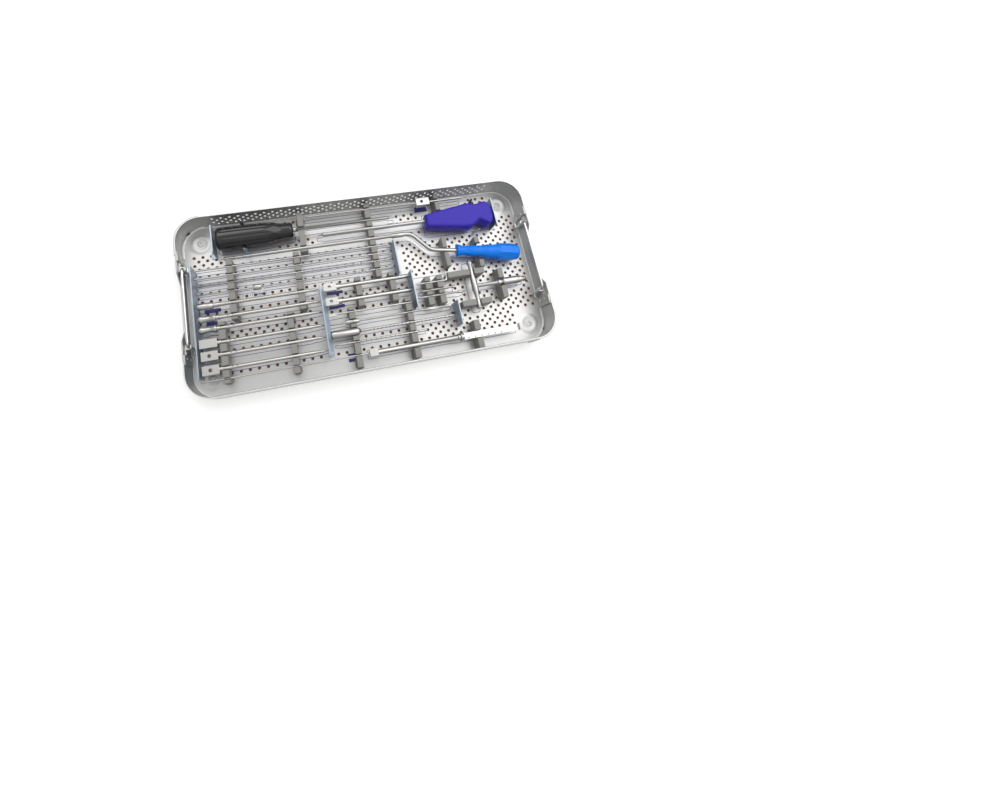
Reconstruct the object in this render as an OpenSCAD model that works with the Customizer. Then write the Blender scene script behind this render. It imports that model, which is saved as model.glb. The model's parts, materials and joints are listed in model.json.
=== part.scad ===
/* [Tray shell] */
// Outer length of the tray
tray_l = 480; // [460:1:500]
// Outer width of the tray
tray_w = 233; // [225:1:250]
// Height of the rim above the table
rim_z = 38.5; // [36:0.5:60]
// Outer corner radius of the walls
corner_r = 32; // [28:1:40]
// Thickness of the sheet metal
sheet = 1.6; // [1.2:0.1:2]
// Height of the feet under the floor
foot_h = 1.9; // [1.5:0.1:4]
// Distance of each foot from the middle of the tray, along the length
foot_x = 215; // [205:1:216]
// Distance of each foot from the middle of the tray, across it
foot_y = 91; // [84:1:94]

/* [Carrying handles] */
// Wire diameter of the drop handles
wire_d = 4; // [3:0.5:5]
// Length of the grip bar
grip_l = 100; // [90:1:110]
// How far a handle slides up
handle_lift = 16; // [10:1:18]
// Half length of the lowered part of an end wall, at its top edge
notch_half = 44; // [36:1:46]
// Depth of the lowered part of an end wall
notch_depth = 14; // [10:1:16]

/* [Supports] */
// Height of an instrument's axis above the floor
axis_h = 18; // [17:0.5:20]
// Height of the comb brackets above the floor
comb_h = 21.5; // [21:0.5:25]
// Thickness of a comb bracket
comb_t = 8; // [6:0.5:8]
// Height of the stop plates above the floor
plate_h = 29; // [26:1:30]
// Thickness of a stop plate
plate_t = 1.4; // [1:0.1:2]
// Clearance round an instrument in its notch
slack = 0.35; // [0.3:0.05:0.5]

/* [Instruments] */
// Diameter of the black driver's grip at its rear end
black_d = 31; // [28:0.5:31]
// Thickness of the violet grip
violet_t = 24; // [20:1:26]
// Largest diameter of the blue grip
blue_d = 22.4; // [20:0.2:23]
// Travel of the depth gauge's probe
probe_travel = 60; // [40:1:70]
// Travel of the chuck's quick-release sleeve
sleeve_travel = 3; // [2:0.5:4]

/* [Hidden] */
$fn = 48;
eps = 0.01;

floor_z = foot_h + sheet;              // top face of the floor
axis_z = floor_z + axis_h;             // height of the instruments' axes
inner_l = tray_l - 2 * sheet;
inner_w = tray_w - 2 * sheet;
seam_y = 68;                           // where a long wall ends and an end wall begins
tab_y = 60;                            // inner end of a long wall's tab
seam_gap = 0.3;
rivet_head_h = 0.8;

grip_x = tray_l / 2 - 2 * sheet - wire_d / 2 - 1.2;   // handle wire's distance from the middle
grip_z = rim_z - wire_d / 2 - 0.5;
toe_z = floor_z + wire_d / 2 + 2;      // the turned-out ends of a handle
bracket_h = 4.5;
strap_t = 1.2;
bracket_z = toe_z + wire_d / 2 + handle_lift + 0.3;

// --- places of the instruments across the tray (their axes run along the length) ---
BACK_ROD_Y = 104;
BLACK_Y = 87.5;
VIOLET_Y = 75;
BLUE_Y = 59.5;
PIN_YS = [48, 36.8];
DRILL_Y = 26.6;
STEP_Y = 15;
DRIVER_YS = [-0.5, -17, -31, -49, -64.5, -82];
CUTTER_YS = [-0.8, -20.6];
HOOK_Y = -37.5;
TAP_Y = -50.5;
REAMER_Y = -64.3;
ROD_Y = -77.8;
GAUGE_Y = -95;
CHUCK_Y = -29.5;

// --- diameters ---
black_shaft_d = 4.8;
violet_shaft_d = 5;
blue_shaft_d = 4.8;
blue_neck_d = 7;
pin_d = 2.5;
drill_d = 3;
step_d = 1.8;
driver_d = 5;
cutter_d = 5.8;
hook_d = 2.8;
tap_d = 3;
tap_collar_d = 6;
reamer_d = 4;
reamer_body_d = 11;
rod_d = 3;
probe_d = 2;
gauge_d = 7;
back_rod_d = 3;

// --- places along the tray ---
LEFT_STOP_X = -225;
MIDDLE_STOP_X = -66.5;
DRILL_STOP_X = 42.5;
CUTTER_STOP_X = 57.5;
TIP_STOP_X = 112.5;
BLACK_STOP_X = -195.5;
VIOLET_STOP_X = 195;
T_BAR_X = 144;

// =============================== helpers ===============================

module rounded_rect(l, w, r) {
    square([l - 2 * r, w], center = true);
    square([l, w - 2 * r], center = true);
    for (x = [-1, 1], y = [-1, 1])
        translate([x * (l / 2 - r), y * (w / 2 - r)]) circle(r, $fn = 96);
}

// round bar along X from x0 to x1
module rod_x(x0, x1, y, d, z = axis_z) {
    translate([x0, y, z]) rotate([0, 90, 0]) cylinder(h = x1 - x0, d = d);
}

// solid turned about an axis along X; profile points are [x, radius]
module turned_x(y, profile, z = axis_z) {
    first = profile[0];
    last = profile[len(profile) - 1];
    translate([0, y, z]) rotate([0, 90, 0]) rotate_extrude($fn = 48)
        polygon(concat([[0, first[0]]], [for (p = profile) [p[1], p[0]]], [[0, last[0]]]));
}

// rectangular block about an instrument's axis
module block_x(x0, x1, y, w, h) {
    translate([x0, y - w / 2, axis_z - h / 2]) cube([x1 - x0, w, h]);
}

// open-topped slot through a comb for a bar of diameter d, at y
module slot_at(x, y, d, t = comb_t) {
    r = d / 2 + slack;
    translate([x - t, y, axis_z]) rotate([0, 90, 0]) cylinder(h = 2 * t, r = r);
    translate([x - t, y - r, axis_z]) cube([2 * t, 2 * r, comb_h]);
}

// comb bracket across the tray from y0 to y1, with slots [[y, d], ...]
module comb(x, y0, y1, slots) {
    foot_w = comb_t + 3;
    difference() {
        union() {
            translate([x - comb_t / 2, y0, floor_z]) cube([comb_t, y1 - y0, comb_h]);
            for (y = [y0 + 2, y1 - 12])
                translate([x - foot_w / 2, y, floor_z]) cube([foot_w, 10, 1.6]);
        }
        for (s = slots) slot_at(x, s[0], s[1]);
        // relief windows under the slots
        for (i = [0:len(slots) - 2]) {
            mid = (slots[i][0] + slots[i + 1][0]) / 2;
            gap = abs(slots[i][0] - slots[i + 1][0]);
            if (gap > 10)
                translate([x - comb_t, mid - gap / 2 + 3, floor_z - eps]) cube([2 * comb_t, gap - 6, 5]);
        }
    }
}

// post pair with a gap for one instrument
module posts(x, y0, gap0, gap1, y1, w = 7.5, h = 21, seat = 10) {
    translate([x - w / 2, y0, floor_z]) cube([w, gap0 - y0, h]);
    translate([x - w / 2, gap1, floor_z]) cube([w, y1 - gap1, h]);
    translate([x - w / 2, gap0 - eps, floor_z]) cube([w, gap1 - gap0 + 2 * eps, seat]);
}

// upright sheet plate across the tray with a foot flange towards +X or -X
module stop_plate(x, y0, y1, side) {
    flange = 7;
    hole_at = 4.2;                     // rivet holes' distance from the plate
    translate([x - plate_t / 2, y0, floor_z]) cube([plate_t, y1 - y0, plate_h]);
    difference() {
        translate([side > 0 ? x : x - flange, y0, floor_z]) cube([flange, y1 - y0, plate_t]);
        for (y = [y0 + 6, y1 - 6])
            translate([x + side * hole_at, y, floor_z - 1]) cylinder(h = 4, d = 3);
    }
}

// =============================== tray shell ===============================

module floor_pan() {
    color("silver") difference() {
        translate([0, 0, foot_h]) linear_extrude(sheet)
            rounded_rect(inner_l, inner_w, corner_r - sheet);
        for (x = [-foot_x, foot_x], y = [-foot_y, foot_y])
            translate([x, y, 0]) cylinder(h = 2 * floor_z, d = 5.2);
    }
}

// one long wall that wraps round two corners, with a stepped-in tab at each end
module long_wall(side) {
    translate([0, 0, foot_h]) linear_extrude(rim_z - foot_h) {
        difference() {
            rounded_rect(tray_l, tray_w, corner_r);
            rounded_rect(inner_l, inner_w, corner_r - sheet);
            translate([-tray_l, side > 0 ? seam_y - 2 * tray_w : -seam_y]) square([2 * tray_l, 2 * tray_w]);
        }
    }
    for (x = [-1, 1])
        translate([x > 0 ? tray_l / 2 - 2 * sheet : -tray_l / 2 + sheet,
                   side > 0 ? tab_y : -seam_y - 4, floor_z])
            cube([sheet, seam_y + 4 - tab_y, rim_z - floor_z]);
}
module wall_front() { color("silver") long_wall(-1); }
module wall_back() { color("silver") long_wall(1); }

module end_wall(side) {
    half = seam_y - seam_gap;
    translate([side * (tray_l / 2 - sheet / 2) - sheet / 2, 0, 0]) rotate([90, 0, 90]) linear_extrude(sheet)
        polygon([[-half, foot_h], [half, foot_h], [half, rim_z], [notch_half, rim_z],
                 [notch_half - notch_depth, rim_z - notch_depth],
                 [-notch_half + notch_depth, rim_z - notch_depth], [-notch_half, rim_z], [-half, rim_z]]);
}
module end_wall_left() { color("silver") end_wall(-1); }
module end_wall_right() { color("silver") end_wall(1); }

// rivet head standing on a face at distance x from the middle of the tray
module rivet_head(x, y, z, d) {
    translate([x - rivet_head_h, y, z]) rotate([0, 90, 0]) cylinder(h = rivet_head_h, d = d);
}
module shell_rivets() {
    tab_x = tray_l / 2 - 2 * sheet;
    color("gainsboro") for (a = [0, 180], s = [-1, 1]) rotate([0, 0, a]) {
        for (z = [13, 28]) rivet_head(tab_x, s * (tab_y + 4), z, 4);
        rivet_head(tray_l / 2 - sheet - strap_t, s * (grip_l / 2 + 7), bracket_z + bracket_h / 2, 3.2);
    }
}

// =============================== handles ===============================

module bail(side) {
    x = side * grip_x;
    bend_r = 5.5;
    half = grip_l / 2;
    toe = 8;
    translate([x, -half + bend_r, grip_z]) rotate([-90, 0, 0]) cylinder(h = grip_l - 2 * bend_r, d = wire_d);
    for (s = [-1, 1]) {
        translate([x, s * (half - bend_r), grip_z - bend_r]) rotate([90, 0, s > 0 ? 90 : -90])
            rotate_extrude(angle = 90) translate([bend_r, 0]) circle(d = wire_d, $fn = 32);
        translate([x, s * half, toe_z]) cylinder(h = grip_z - bend_r - toe_z, d = wire_d);
        translate([x, s * half, toe_z]) sphere(d = wire_d, $fn = 32);
        translate([x, s * half, toe_z]) rotate([-90 * s, 0, 0]) cylinder(h = toe, d = wire_d);
    }
}
module handle_left() { color("gainsboro") bail(-1); }
module handle_right() { color("gainsboro") bail(1); }

// strap that holds one leg of a handle against the end wall, with an ear towards the corner
module strap(y) {
    wall_x = tray_l / 2 - sheet;
    leg_r = wire_d / 2 + 0.05;
    half_w = leg_r + strap_t;
    ear = 6.2;
    difference() {
        union() {
            translate([grip_x, y, bracket_z]) cylinder(h = bracket_h, r = half_w);
            translate([grip_x, y - half_w, bracket_z]) cube([wall_x - grip_x, 2 * half_w, bracket_h]);
            translate([wall_x - strap_t, y > 0 ? y : y - half_w - ear, bracket_z])
                cube([strap_t, half_w + ear, bracket_h]);
        }
        translate([grip_x, y, bracket_z - 1]) cylinder(h = bracket_h + 2, r = leg_r);
    }
}
module handle_brackets() {
    color("gainsboro") for (a = [0, 180], s = [-1, 1]) rotate([0, 0, a]) strap(s * grip_l / 2);
}

// =============================== feet ===============================

module feet() {
    color("dimgray") for (x = [-foot_x, foot_x], y = [-foot_y, foot_y])
        translate([x, y, 0]) difference() {
            cylinder(h = foot_h, d1 = 20, d2 = 24);
            translate([0, 0, -1]) cylinder(h = foot_h + 2, d = 5.2);
        }
}
module foot_rivets() {
    color("gainsboro") for (x = [-foot_x, foot_x], y = [-foot_y, foot_y])
        translate([x, y, 0]) difference() {
            union() {
                translate([0, 0, 0.4]) cylinder(h = floor_z + 0.4, d = 5);
                translate([0, 0, floor_z]) cylinder(h = rivet_head_h, d = 8.5);
            }
            cylinder(h = 2 * floor_z, d = 2.8);
        }
}

// =============================== combs ===============================

pin_slots = [[PIN_YS[0], pin_d], [PIN_YS[1], pin_d], [DRILL_Y, drill_d], [STEP_Y, drill_d]];
rear_drivers = [[DRIVER_YS[0], driver_d], [DRIVER_YS[1], driver_d]];
front_drivers = [for (i = [2:5]) [DRIVER_YS[i], driver_d]];
probe_slot = [[GAUGE_Y, probe_d]];

module comb_rear_left() { color("gray") comb(-178, -23, 57, concat(pin_slots, rear_drivers)); }
module comb_front_left() { color("gray") comb(-194.5, -101, -23.5, concat(front_drivers, probe_slot)); }
module comb_rear_middle() { color("gray") comb(-91, -24, 55, concat(pin_slots, rear_drivers)); }
module comb_front_middle() { color("gray") comb(-109.5, -104, -24, concat(front_drivers, probe_slot)); }
module comb_back_middle() {
    color("gray") comb(-79, 53.5, 110, [[BLACK_Y, black_shaft_d], [BLUE_Y, blue_shaft_d]]);
}
module comb_long_back() {
    color("gray") comb(15, 4, 112, concat([[BACK_ROD_Y, back_rod_d], [BLACK_Y, black_shaft_d],
        [VIOLET_Y, violet_shaft_d], [BLUE_Y, blue_shaft_d]], pin_slots));
}
module combs_short() {
    color("gray") for (x = [-15, 31.5]) comb(x, -32, 8, [for (y = CUTTER_YS) [y, cutter_d]]);
}
module comb_front_centre() {
    color("gray") comb(-30, -111, -31, concat([
        [HOOK_Y, hook_d], [TAP_Y, tap_collar_d], [REAMER_Y, reamer_body_d],
        [ROD_Y, rod_d]], probe_slot));
}
module comb_front_right() {
    color("gray") comb(46.5, -112, -31, [[HOOK_Y, hook_d], [TAP_Y, tap_d], [REAMER_Y, reamer_d],
        [ROD_Y, rod_d], [GAUGE_Y, gauge_d]]);
}

bar_r = 3;                            // radius of the T handle's arms
KEY_YS = [-14.7, -25.5, -33.8];
key_d = 2.8;
module key_combs() { color("gray") for (x = [79, 96]) comb(x, -46, -7, [for (y = KEY_YS) [y, key_d]]); }

// saddles along the tray that carry the two arms of the T handle
module bar_saddles() {
    color("gray") for (s = [[109, 162, -9], [120.5, 163, -52]]) difference() {
        translate([s[0], s[2] - comb_t / 2, floor_z]) cube([s[1] - s[0], comb_t, comb_h]);
        translate([T_BAR_X, s[2] - comb_t, axis_z]) rotate([-90, 0, 0])
            cylinder(h = 2 * comb_t, r = bar_r + slack);
        translate([T_BAR_X - bar_r - slack, s[2] - comb_t, axis_z])
            cube([2 * (bar_r + slack), 2 * comb_t, comb_h]);
        translate([s[0] + 8, s[2] - comb_t, floor_z - eps]) cube([s[1] - s[0] - 16, 2 * comb_t, 5]);
    }
}

module rest_posts() {
    color("gray") {
        posts(184.5, -52, CHUCK_Y - 6, CHUCK_Y + 6, -10, seat = axis_h - 6);
        posts(114.5, 4, 24.5, 31.5, 47, w = 6, seat = axis_h - 4);
        posts(162, -3.5, 6.5, 32, 41, w = 6.5, seat = 6);
        posts(117, 88.5, BACK_ROD_Y - 3, BACK_ROD_Y + 3, 114, w = 6, seat = axis_h - 3);
        posts(133.5, -114, GAUGE_Y - 5.5, GAUGE_Y + 5.5, -76, w = 8, seat = axis_h - 3);
    }
}

// =============================== stop plates and clips ===============================

module stop_plate_left() { color("lightsteelblue") stop_plate(LEFT_STOP_X, -91, 53, -1); }
module stop_plate_middle() { color("lightsteelblue") stop_plate(MIDDLE_STOP_X, -90, 4, 1); }
module stop_plates_short() {
    color("lightsteelblue") {
        stop_plate(DRILL_STOP_X, 4, 52, 1);
        stop_plate(CUTTER_STOP_X, -46, 5, 1);
        stop_plate(TIP_STOP_X, -79, -46, 1);
    }
}
module handle_stop_plates() {
    color("lightsteelblue") {
        stop_plate(BLACK_STOP_X, 67, 105, -1);
        stop_plate(VIOLET_STOP_X, 54, 93, 1);
    }
}
// upright spring strips on both sides of the two thick grips
module handle_clips() {
    clip_t = 1;
    clip_w = 9;
    color("lightsteelblue")
        for (c = [[-156, BLACK_Y, 16.3], [168, 73.5, 20.5]], s = [-1, 1])
            translate([c[0] - clip_w / 2, c[1] + s * c[2] - clip_t / 2, floor_z]) {
                cube([clip_w, clip_t, plate_h - 3]);
                translate([0, s > 0 ? 0 : clip_t - 5, 0]) cube([clip_w, 5, clip_t]);
            }
}

// =============================== black driver ===============================

module black_grip() {
    r = black_d / 2;
    color("#1a1a1c") difference() {
        turned_x(BLACK_Y, [[-190.5, r - 2], [-188.5, r], [-160, r], [-128, r - 0.8], [-115, r - 2],
                           [-107, r - 4.2], [-92, r - 4.6], [-90, r - 6]]);
        rod_x(-125, -85, BLACK_Y, black_shaft_d + 0.02);
    }
}
module black_shaft() {
    r = black_shaft_d / 2;
    color("silver") turned_x(BLACK_Y, [[-124.5, r], [-89.8, r], [-89.7, 3.6], [-86.5, 3.6], [-86.4, r],
                                       [43, r], [44, 1.4], [51.5, 1.4]]);
}

// =============================== violet driver ===============================

violet_outline = [[94.5, 63.8], [114, 59.6], [152, 54.6], [160, 55.2], [166, 60.6], [172, 62.8],
                  [184, 55.2], [189, 56.6], [192, 61], [193, 70], [192.6, 82], [188, 89], [181, 90.6],
                  [170, 87.6], [158, 91.4], [96, 82.2]];
module violet_grip() {
    color("mediumblue") difference() {
        translate([0, 0, axis_z - violet_t / 2]) linear_extrude(violet_t) polygon(violet_outline);
        rod_x(80, 130, VIOLET_Y, violet_shaft_d + 0.02);
    }
}
module violet_shaft() {
    r = violet_shaft_d / 2;
    color("silver") turned_x(VIOLET_Y, [[-58, 1.2], [-52, 1.2], [-51, r], [129.5, r]]);
}

// =============================== blue curved tool ===============================

bend_start_x = 62;
bend_r = 18;
bend_down = 50;                       // turn towards the front
bend_back = 40;                       // turn back towards the length of the tray
lean = bend_down - bend_back;         // final lean of the grip
slant_l = 21.4;
bend_a = [bend_start_x + bend_r * sin(bend_down), BLUE_Y - bend_r * (1 - cos(bend_down))];
bend_b = bend_a + slant_l * [cos(bend_down), -sin(bend_down)];
bend_c = bend_b + bend_r * [sin(bend_down) - sin(lean), cos(bend_down) - cos(lean)];
blue_grip_start = 30;                 // from the end of the bend to the grip
blue_grip_l = 91;

module along_blue(s) {
    translate([bend_c[0], bend_c[1], axis_z]) rotate([0, 0, -lean]) translate([s, 0, 0]) rotate([0, 90, 0])
        children();
}
module blue_shaft() {
    d = blue_shaft_d + 1;
    sleeve_d = d + 0.1;               // the straight stretches are a touch thicker than the bends
    lap = 0.4;
    color("silver") {
        turned_x(BLUE_Y, [[-188, 0.9], [-150, 1.2], [-110, blue_shaft_d / 2], [43, blue_shaft_d / 2],
                          [44, blue_neck_d / 2], [bend_start_x - 2, blue_neck_d / 2],
                          [bend_start_x - 1.5, sleeve_d / 2], [bend_start_x + lap, sleeve_d / 2]]);
        translate([bend_start_x, BLUE_Y - bend_r, axis_z]) rotate([0, 0, 90 - bend_down])
            rotate_extrude(angle = bend_down) translate([bend_r, 0]) circle(d = d, $fn = 32);
        translate([bend_a[0], bend_a[1], axis_z]) rotate([0, 0, -bend_down]) rotate([0, 90, 0])
            translate([0, 0, -lap]) cylinder(h = slant_l + 2 * lap, d = sleeve_d);
        translate([bend_b[0] + bend_r * sin(bend_down), bend_b[1] + bend_r * cos(bend_down), axis_z])
            rotate([0, 0, 270 - bend_down]) rotate_extrude(angle = bend_back) translate([bend_r, 0])
                circle(d = d, $fn = 32);
        along_blue(-lap) cylinder(h = blue_grip_start + 20 + lap, d = sleeve_d);
    }
}
module blue_grip() {
    r = blue_d / 2;
    color("dodgerblue") difference() {
        along_blue(blue_grip_start) rotate_extrude($fn = 48)
            polygon([[0, 0], [r - 4.3, 0], [r - 3.5, 1.5], [r - 3.6, 6], [r - 4.7, 14], [r - 4.6, 20],
                     [r - 3.6, 28], [r - 3, 36], [r - 2.6, 44], [r - 0.5, 58], [r, 64], [r, 80],
                     [r - 1.6, blue_grip_l - 3], [r - 3.2, blue_grip_l], [0, blue_grip_l]]);
        along_blue(0) cylinder(h = blue_grip_start + 20, d = blue_shaft_d + 1.1);
    }
}
module blue_cap() {
    color("silver") along_blue(blue_grip_start + blue_grip_l) cylinder(h = 1.6, d1 = 11, d2 = 9.5);
}

// =============================== T handle with chuck ===============================

chuck_r = 3;                          // the chuck's spindle, inside its sleeve

module t_bar() {
    hub_r = 4.3;
    end_r = 4.4;
    color("silver") translate([T_BAR_X, 0, axis_z]) rotate([-90, 0, 0]) rotate_extrude($fn = 48)
        polygon([[0, -62], [bar_r, -62], [end_r, -59.5], [bar_r, -56.5], [bar_r, -44], [3.9, -38], [hub_r, -34],
                 [hub_r, -25], [3.9, -18], [bar_r, -13], [bar_r, -1], [end_r, 4], [bar_r, 7], [0, 7]]);
}
module chuck_stem() {
    nose_x = 212.2 + sleeve_travel + 0.5;          // where the nose stops the sleeve
    color("silver") turned_x(CHUCK_Y, [[T_BAR_X + 2.5, 2.6], [178, 2.6], [178.1, 4.4], [182, 4.4],
                                       [182.1, chuck_r], [nose_x, chuck_r], [nose_x + 0.1, 4.2],
                                       [218, 3.6], [220, 2.8]]);
}
module chuck_sleeve() {
    color("gainsboro") difference() {
        turned_x(CHUCK_Y, [[182.5 + sleeve_travel, 4.8], [184 + sleeve_travel, 5.4], [206, 5.4], [208, 5],
                           [212, 4.6]]);
        rod_x(180, 220, CHUCK_Y, 2 * chuck_r + 0.08);
    }
}

// =============================== back row ===============================

module hook_rod() {
    r = back_rod_d / 2;
    color("silver") {
        turned_x(BACK_ROD_Y, [[-72, 0.8], [-64, r], [87, r]]);
        difference() {
            block_x(86.9, 106, BACK_ROD_Y, 11, 9);
            translate([95, BACK_ROD_Y, 0]) cylinder(h = 2 * axis_z, d = 4.5);
        }
        turned_x(BACK_ROD_Y, [[105.9, r], [140, r], [141, 1.8], [156, 1.4]]);
    }
}
module guide_pin(y, x1) {
    r = pin_d / 2;
    color("silver") turned_x(y, [[-223, r], [x1 - 6, r], [x1, 0.2]]);
}
module guide_pin_rear() { guide_pin(PIN_YS[0], 40.5); }
module guide_pin_front() { guide_pin(PIN_YS[1], 39.5); }
module drill_bit() {
    r = drill_d / 2;
    color("silver") turned_x(DRILL_Y, [[-223, r], [37, r], [39, 0.2]]);
}
module step_drill() {
    r = step_d / 2;
    tip_r = drill_d / 2;
    color("silver") turned_x(STEP_Y, [[-222, r], [-151, r], [-150.9, 4], [-141, 4], [-140.9, r], [-20, r],
                                      [-17, tip_r], [38, tip_r], [40.5, 0.2]]);
}

// =============================== driver shafts at the left ===============================

driver_tip_x = -68.4;
module driver_rod(y, x0) {
    r = driver_d / 2;
    color("silver") turned_x(y, [[x0, r], [-86, r], [-84, r - 0.6], [-76, r - 0.6], [driver_tip_x, 0.9]]);
}
module driver_1() {
    driver_rod(DRIVER_YS[0], -205);
    color("silver") turned_x(DRIVER_YS[0], [[-223, 3.6], [-221, 4.4], [-203, 4.4], [-202, 3.2]]);
}
module flared_driver(y) {
    driver_rod(y, -205);
    color("silver") turned_x(y, [[-222, 4.6], [-219, 5.2], [-212, 3.6], [-208, 3.6], [-203, 5], [-201, 5]]);
}
module driver_2() { flared_driver(DRIVER_YS[1]); }
module driver_3() { flared_driver(DRIVER_YS[2]); }
module driver_4() {
    driver_rod(DRIVER_YS[3], -205);
    color("silver") block_x(-223, -201.5, DRIVER_YS[3], 11, 9);
}
module drilled_driver(y) {
    driver_rod(y, -205);
    color("silver") difference() {
        block_x(-222, -201.5, y, 11.5, 9);
        translate([-212, y, 0]) cylinder(h = 2 * axis_z, d = 4.5);
    }
}
module driver_5() { drilled_driver(DRIVER_YS[4]); }
module driver_6() { drilled_driver(DRIVER_YS[5]); }

// =============================== cutters in the middle ===============================

module cutter(y, x1) {
    r = cutter_d / 2;
    color("silver") {
        difference() {
            block_x(-61.5, -45, y, 10, 9);
            translate([-54, y, 0]) cylinder(h = 2 * axis_z, d = 4.2);
        }
        turned_x(y, [[-45.01, 4.2], [-40, 4.2], [-39.9, r], [x1, r]]);
    }
}
module cutter_1() { cutter(CUTTER_YS[0], 56); }
module cutter_2() { cutter(CUTTER_YS[1], 55.6); }
module hook_blade() {
    r = hook_d / 2;
    color("silver") {
        turned_x(HOOK_Y, [[-51, 1.8], [-47, r], [52, r], [55.6, 0.3]]);
        translate([-60, HOOK_Y - 2.6, axis_z - 1.4]) cube([10, 4, 2.8]);
    }
}
module tap() {
    r = tap_d / 2;
    collar_r = tap_collar_d / 2;
    color("silver") turned_x(TAP_Y, [[-61.5, r - 0.5], [-40, r - 0.5], [-39.9, collar_r], [-22.5, collar_r],
                                     [-22.4, r], [64, r], [66, 2.4], [104, 2.4], [108.5, 1]]);
}
module reamer() {
    r = reamer_d / 2;
    body_r = reamer_body_d / 2;
    color("silver") turned_x(REAMER_Y, [[-61.5, body_r - 0.9], [-60, body_r], [-25, body_r], [-23.5, 4],
                                        [-22, r], [100, r], [110.5, 0.6]]);
}
module marked_rod() {
    color("silver") turned_x(ROD_Y, [[-57, 0.2], [-49, rod_d / 2], [64.6, rod_d / 2]]);
}

// =============================== depth gauge ===============================

module gauge_body() {
    r = gauge_d / 2;
    tube_end = 103;
    ring_r = 4.6;
    ruler = [84, 9, 1.8];
    color("silver") difference() {
        union() {
            block_x(-16, -4.9, GAUGE_Y, 10, 9);
            turned_x(GAUGE_Y, [[-5, r], [tube_end, r], [tube_end + 1, ring_r], [tube_end + 9, ring_r]]);
            translate([tube_end + 5, GAUGE_Y - ruler[1] / 2, axis_z - ruler[2] / 2]) cube(ruler);
        }
        rod_x(-17, 10 + probe_travel, GAUGE_Y, probe_d + 0.08);
    }
}
module gauge_probe() {
    color("silver") turned_x(GAUGE_Y, [[-226, 0.5], [-222, probe_d / 2], [6, probe_d / 2]]);
}

// =============================== small keys ===============================

module key_angled() {
    r = key_d / 2;
    elbow_x = 107;
    arm_l = 11.5;
    color("silver") {
        rod_x(63, elbow_x, KEY_YS[0], key_d);
        translate([elbow_x, KEY_YS[0], axis_z]) sphere(d = key_d, $fn = 32);
        translate([elbow_x, KEY_YS[0], axis_z]) rotate([-90, 0, 0]) cylinder(h = arm_l, r = r);
    }
}
module key_plain() {
    r = key_d / 2;
    color("silver") turned_x(KEY_YS[1], [[68, 0.5], [71, r], [112, r], [112.1, 2], [116, 2]]);
}
module key_hooked() {
    r = key_d / 2;
    color("silver") turned_x(KEY_YS[2], [[62.5, r], [118, r], [118.1, 2], [124, 2], [129, 0.6]]);
}

floor_pan();
wall_front();
wall_back();
end_wall_left();
end_wall_right();
shell_rivets();
handle_left();
handle_right();
handle_brackets();
feet();
foot_rivets();
comb_rear_left();
comb_front_left();
comb_rear_middle();
comb_back_middle();
comb_front_middle();
comb_long_back();
combs_short();
comb_front_centre();
comb_front_right();
key_combs();
bar_saddles();
rest_posts();
stop_plate_left();
stop_plate_middle();
stop_plates_short();
handle_stop_plates();
handle_clips();
black_grip();
black_shaft();
violet_grip();
violet_shaft();
blue_grip();
blue_shaft();
blue_cap();
t_bar();
chuck_stem();
chuck_sleeve();
hook_rod();
guide_pin_rear();
guide_pin_front();
drill_bit();
step_drill();
driver_1();
driver_2();
driver_3();
driver_4();
driver_5();
driver_6();
cutter_1();
cutter_2();
hook_blade();
tap();
reamer();
marked_rod();
gauge_body();
gauge_probe();
key_angled();
key_plain();
key_hooked();
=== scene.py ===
"""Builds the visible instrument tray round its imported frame: sheet metal, supports and instruments."""

import json
import math

import bmesh
import bpy
from mathutils import Matrix, Vector


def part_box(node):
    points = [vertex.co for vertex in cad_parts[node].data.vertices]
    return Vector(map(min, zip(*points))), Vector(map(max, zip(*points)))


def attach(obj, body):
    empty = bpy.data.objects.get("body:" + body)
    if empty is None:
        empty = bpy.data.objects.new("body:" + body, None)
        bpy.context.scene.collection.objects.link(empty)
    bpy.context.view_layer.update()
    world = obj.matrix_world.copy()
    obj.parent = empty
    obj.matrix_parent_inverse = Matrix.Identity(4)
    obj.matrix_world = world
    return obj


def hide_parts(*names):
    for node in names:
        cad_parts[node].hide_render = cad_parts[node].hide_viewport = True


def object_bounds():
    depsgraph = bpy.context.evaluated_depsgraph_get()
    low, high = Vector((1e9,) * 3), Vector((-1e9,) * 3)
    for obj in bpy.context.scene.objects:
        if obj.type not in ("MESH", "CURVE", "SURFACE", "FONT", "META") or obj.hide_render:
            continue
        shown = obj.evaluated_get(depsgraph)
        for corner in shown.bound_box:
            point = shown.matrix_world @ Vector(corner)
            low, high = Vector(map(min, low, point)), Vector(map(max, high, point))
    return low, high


bl_info = {
    "name": "Instrument tray",
    "version": (1, 0, 0),
    "blender": (4, 5, 0),
    "location": "3D view > Sidebar > Tray",
    "description": "Builds a perforated instrument tray with its brackets, handles and hand instruments",
    "category": "Add Mesh",
}

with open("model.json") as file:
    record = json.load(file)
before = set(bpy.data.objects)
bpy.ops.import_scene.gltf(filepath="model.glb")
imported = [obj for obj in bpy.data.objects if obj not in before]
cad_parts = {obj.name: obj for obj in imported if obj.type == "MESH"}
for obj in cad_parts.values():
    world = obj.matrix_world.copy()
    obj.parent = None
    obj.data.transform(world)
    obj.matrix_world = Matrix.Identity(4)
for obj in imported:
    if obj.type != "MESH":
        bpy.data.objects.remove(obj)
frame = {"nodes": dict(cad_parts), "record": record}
CAD_LO, CAD_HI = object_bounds()
MM = 0.001
ROOT = "tray"


def node_body(node):
    """The body that a node belongs to."""
    bodies = frame["record"]["behaviour"]["bodies"]
    return next(name for name, nodes in bodies.items() if node in nodes)


def centre(node):
    """The middle of a node's box, in metres."""
    lo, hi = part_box(node)
    return (lo + hi) / 2


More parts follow.
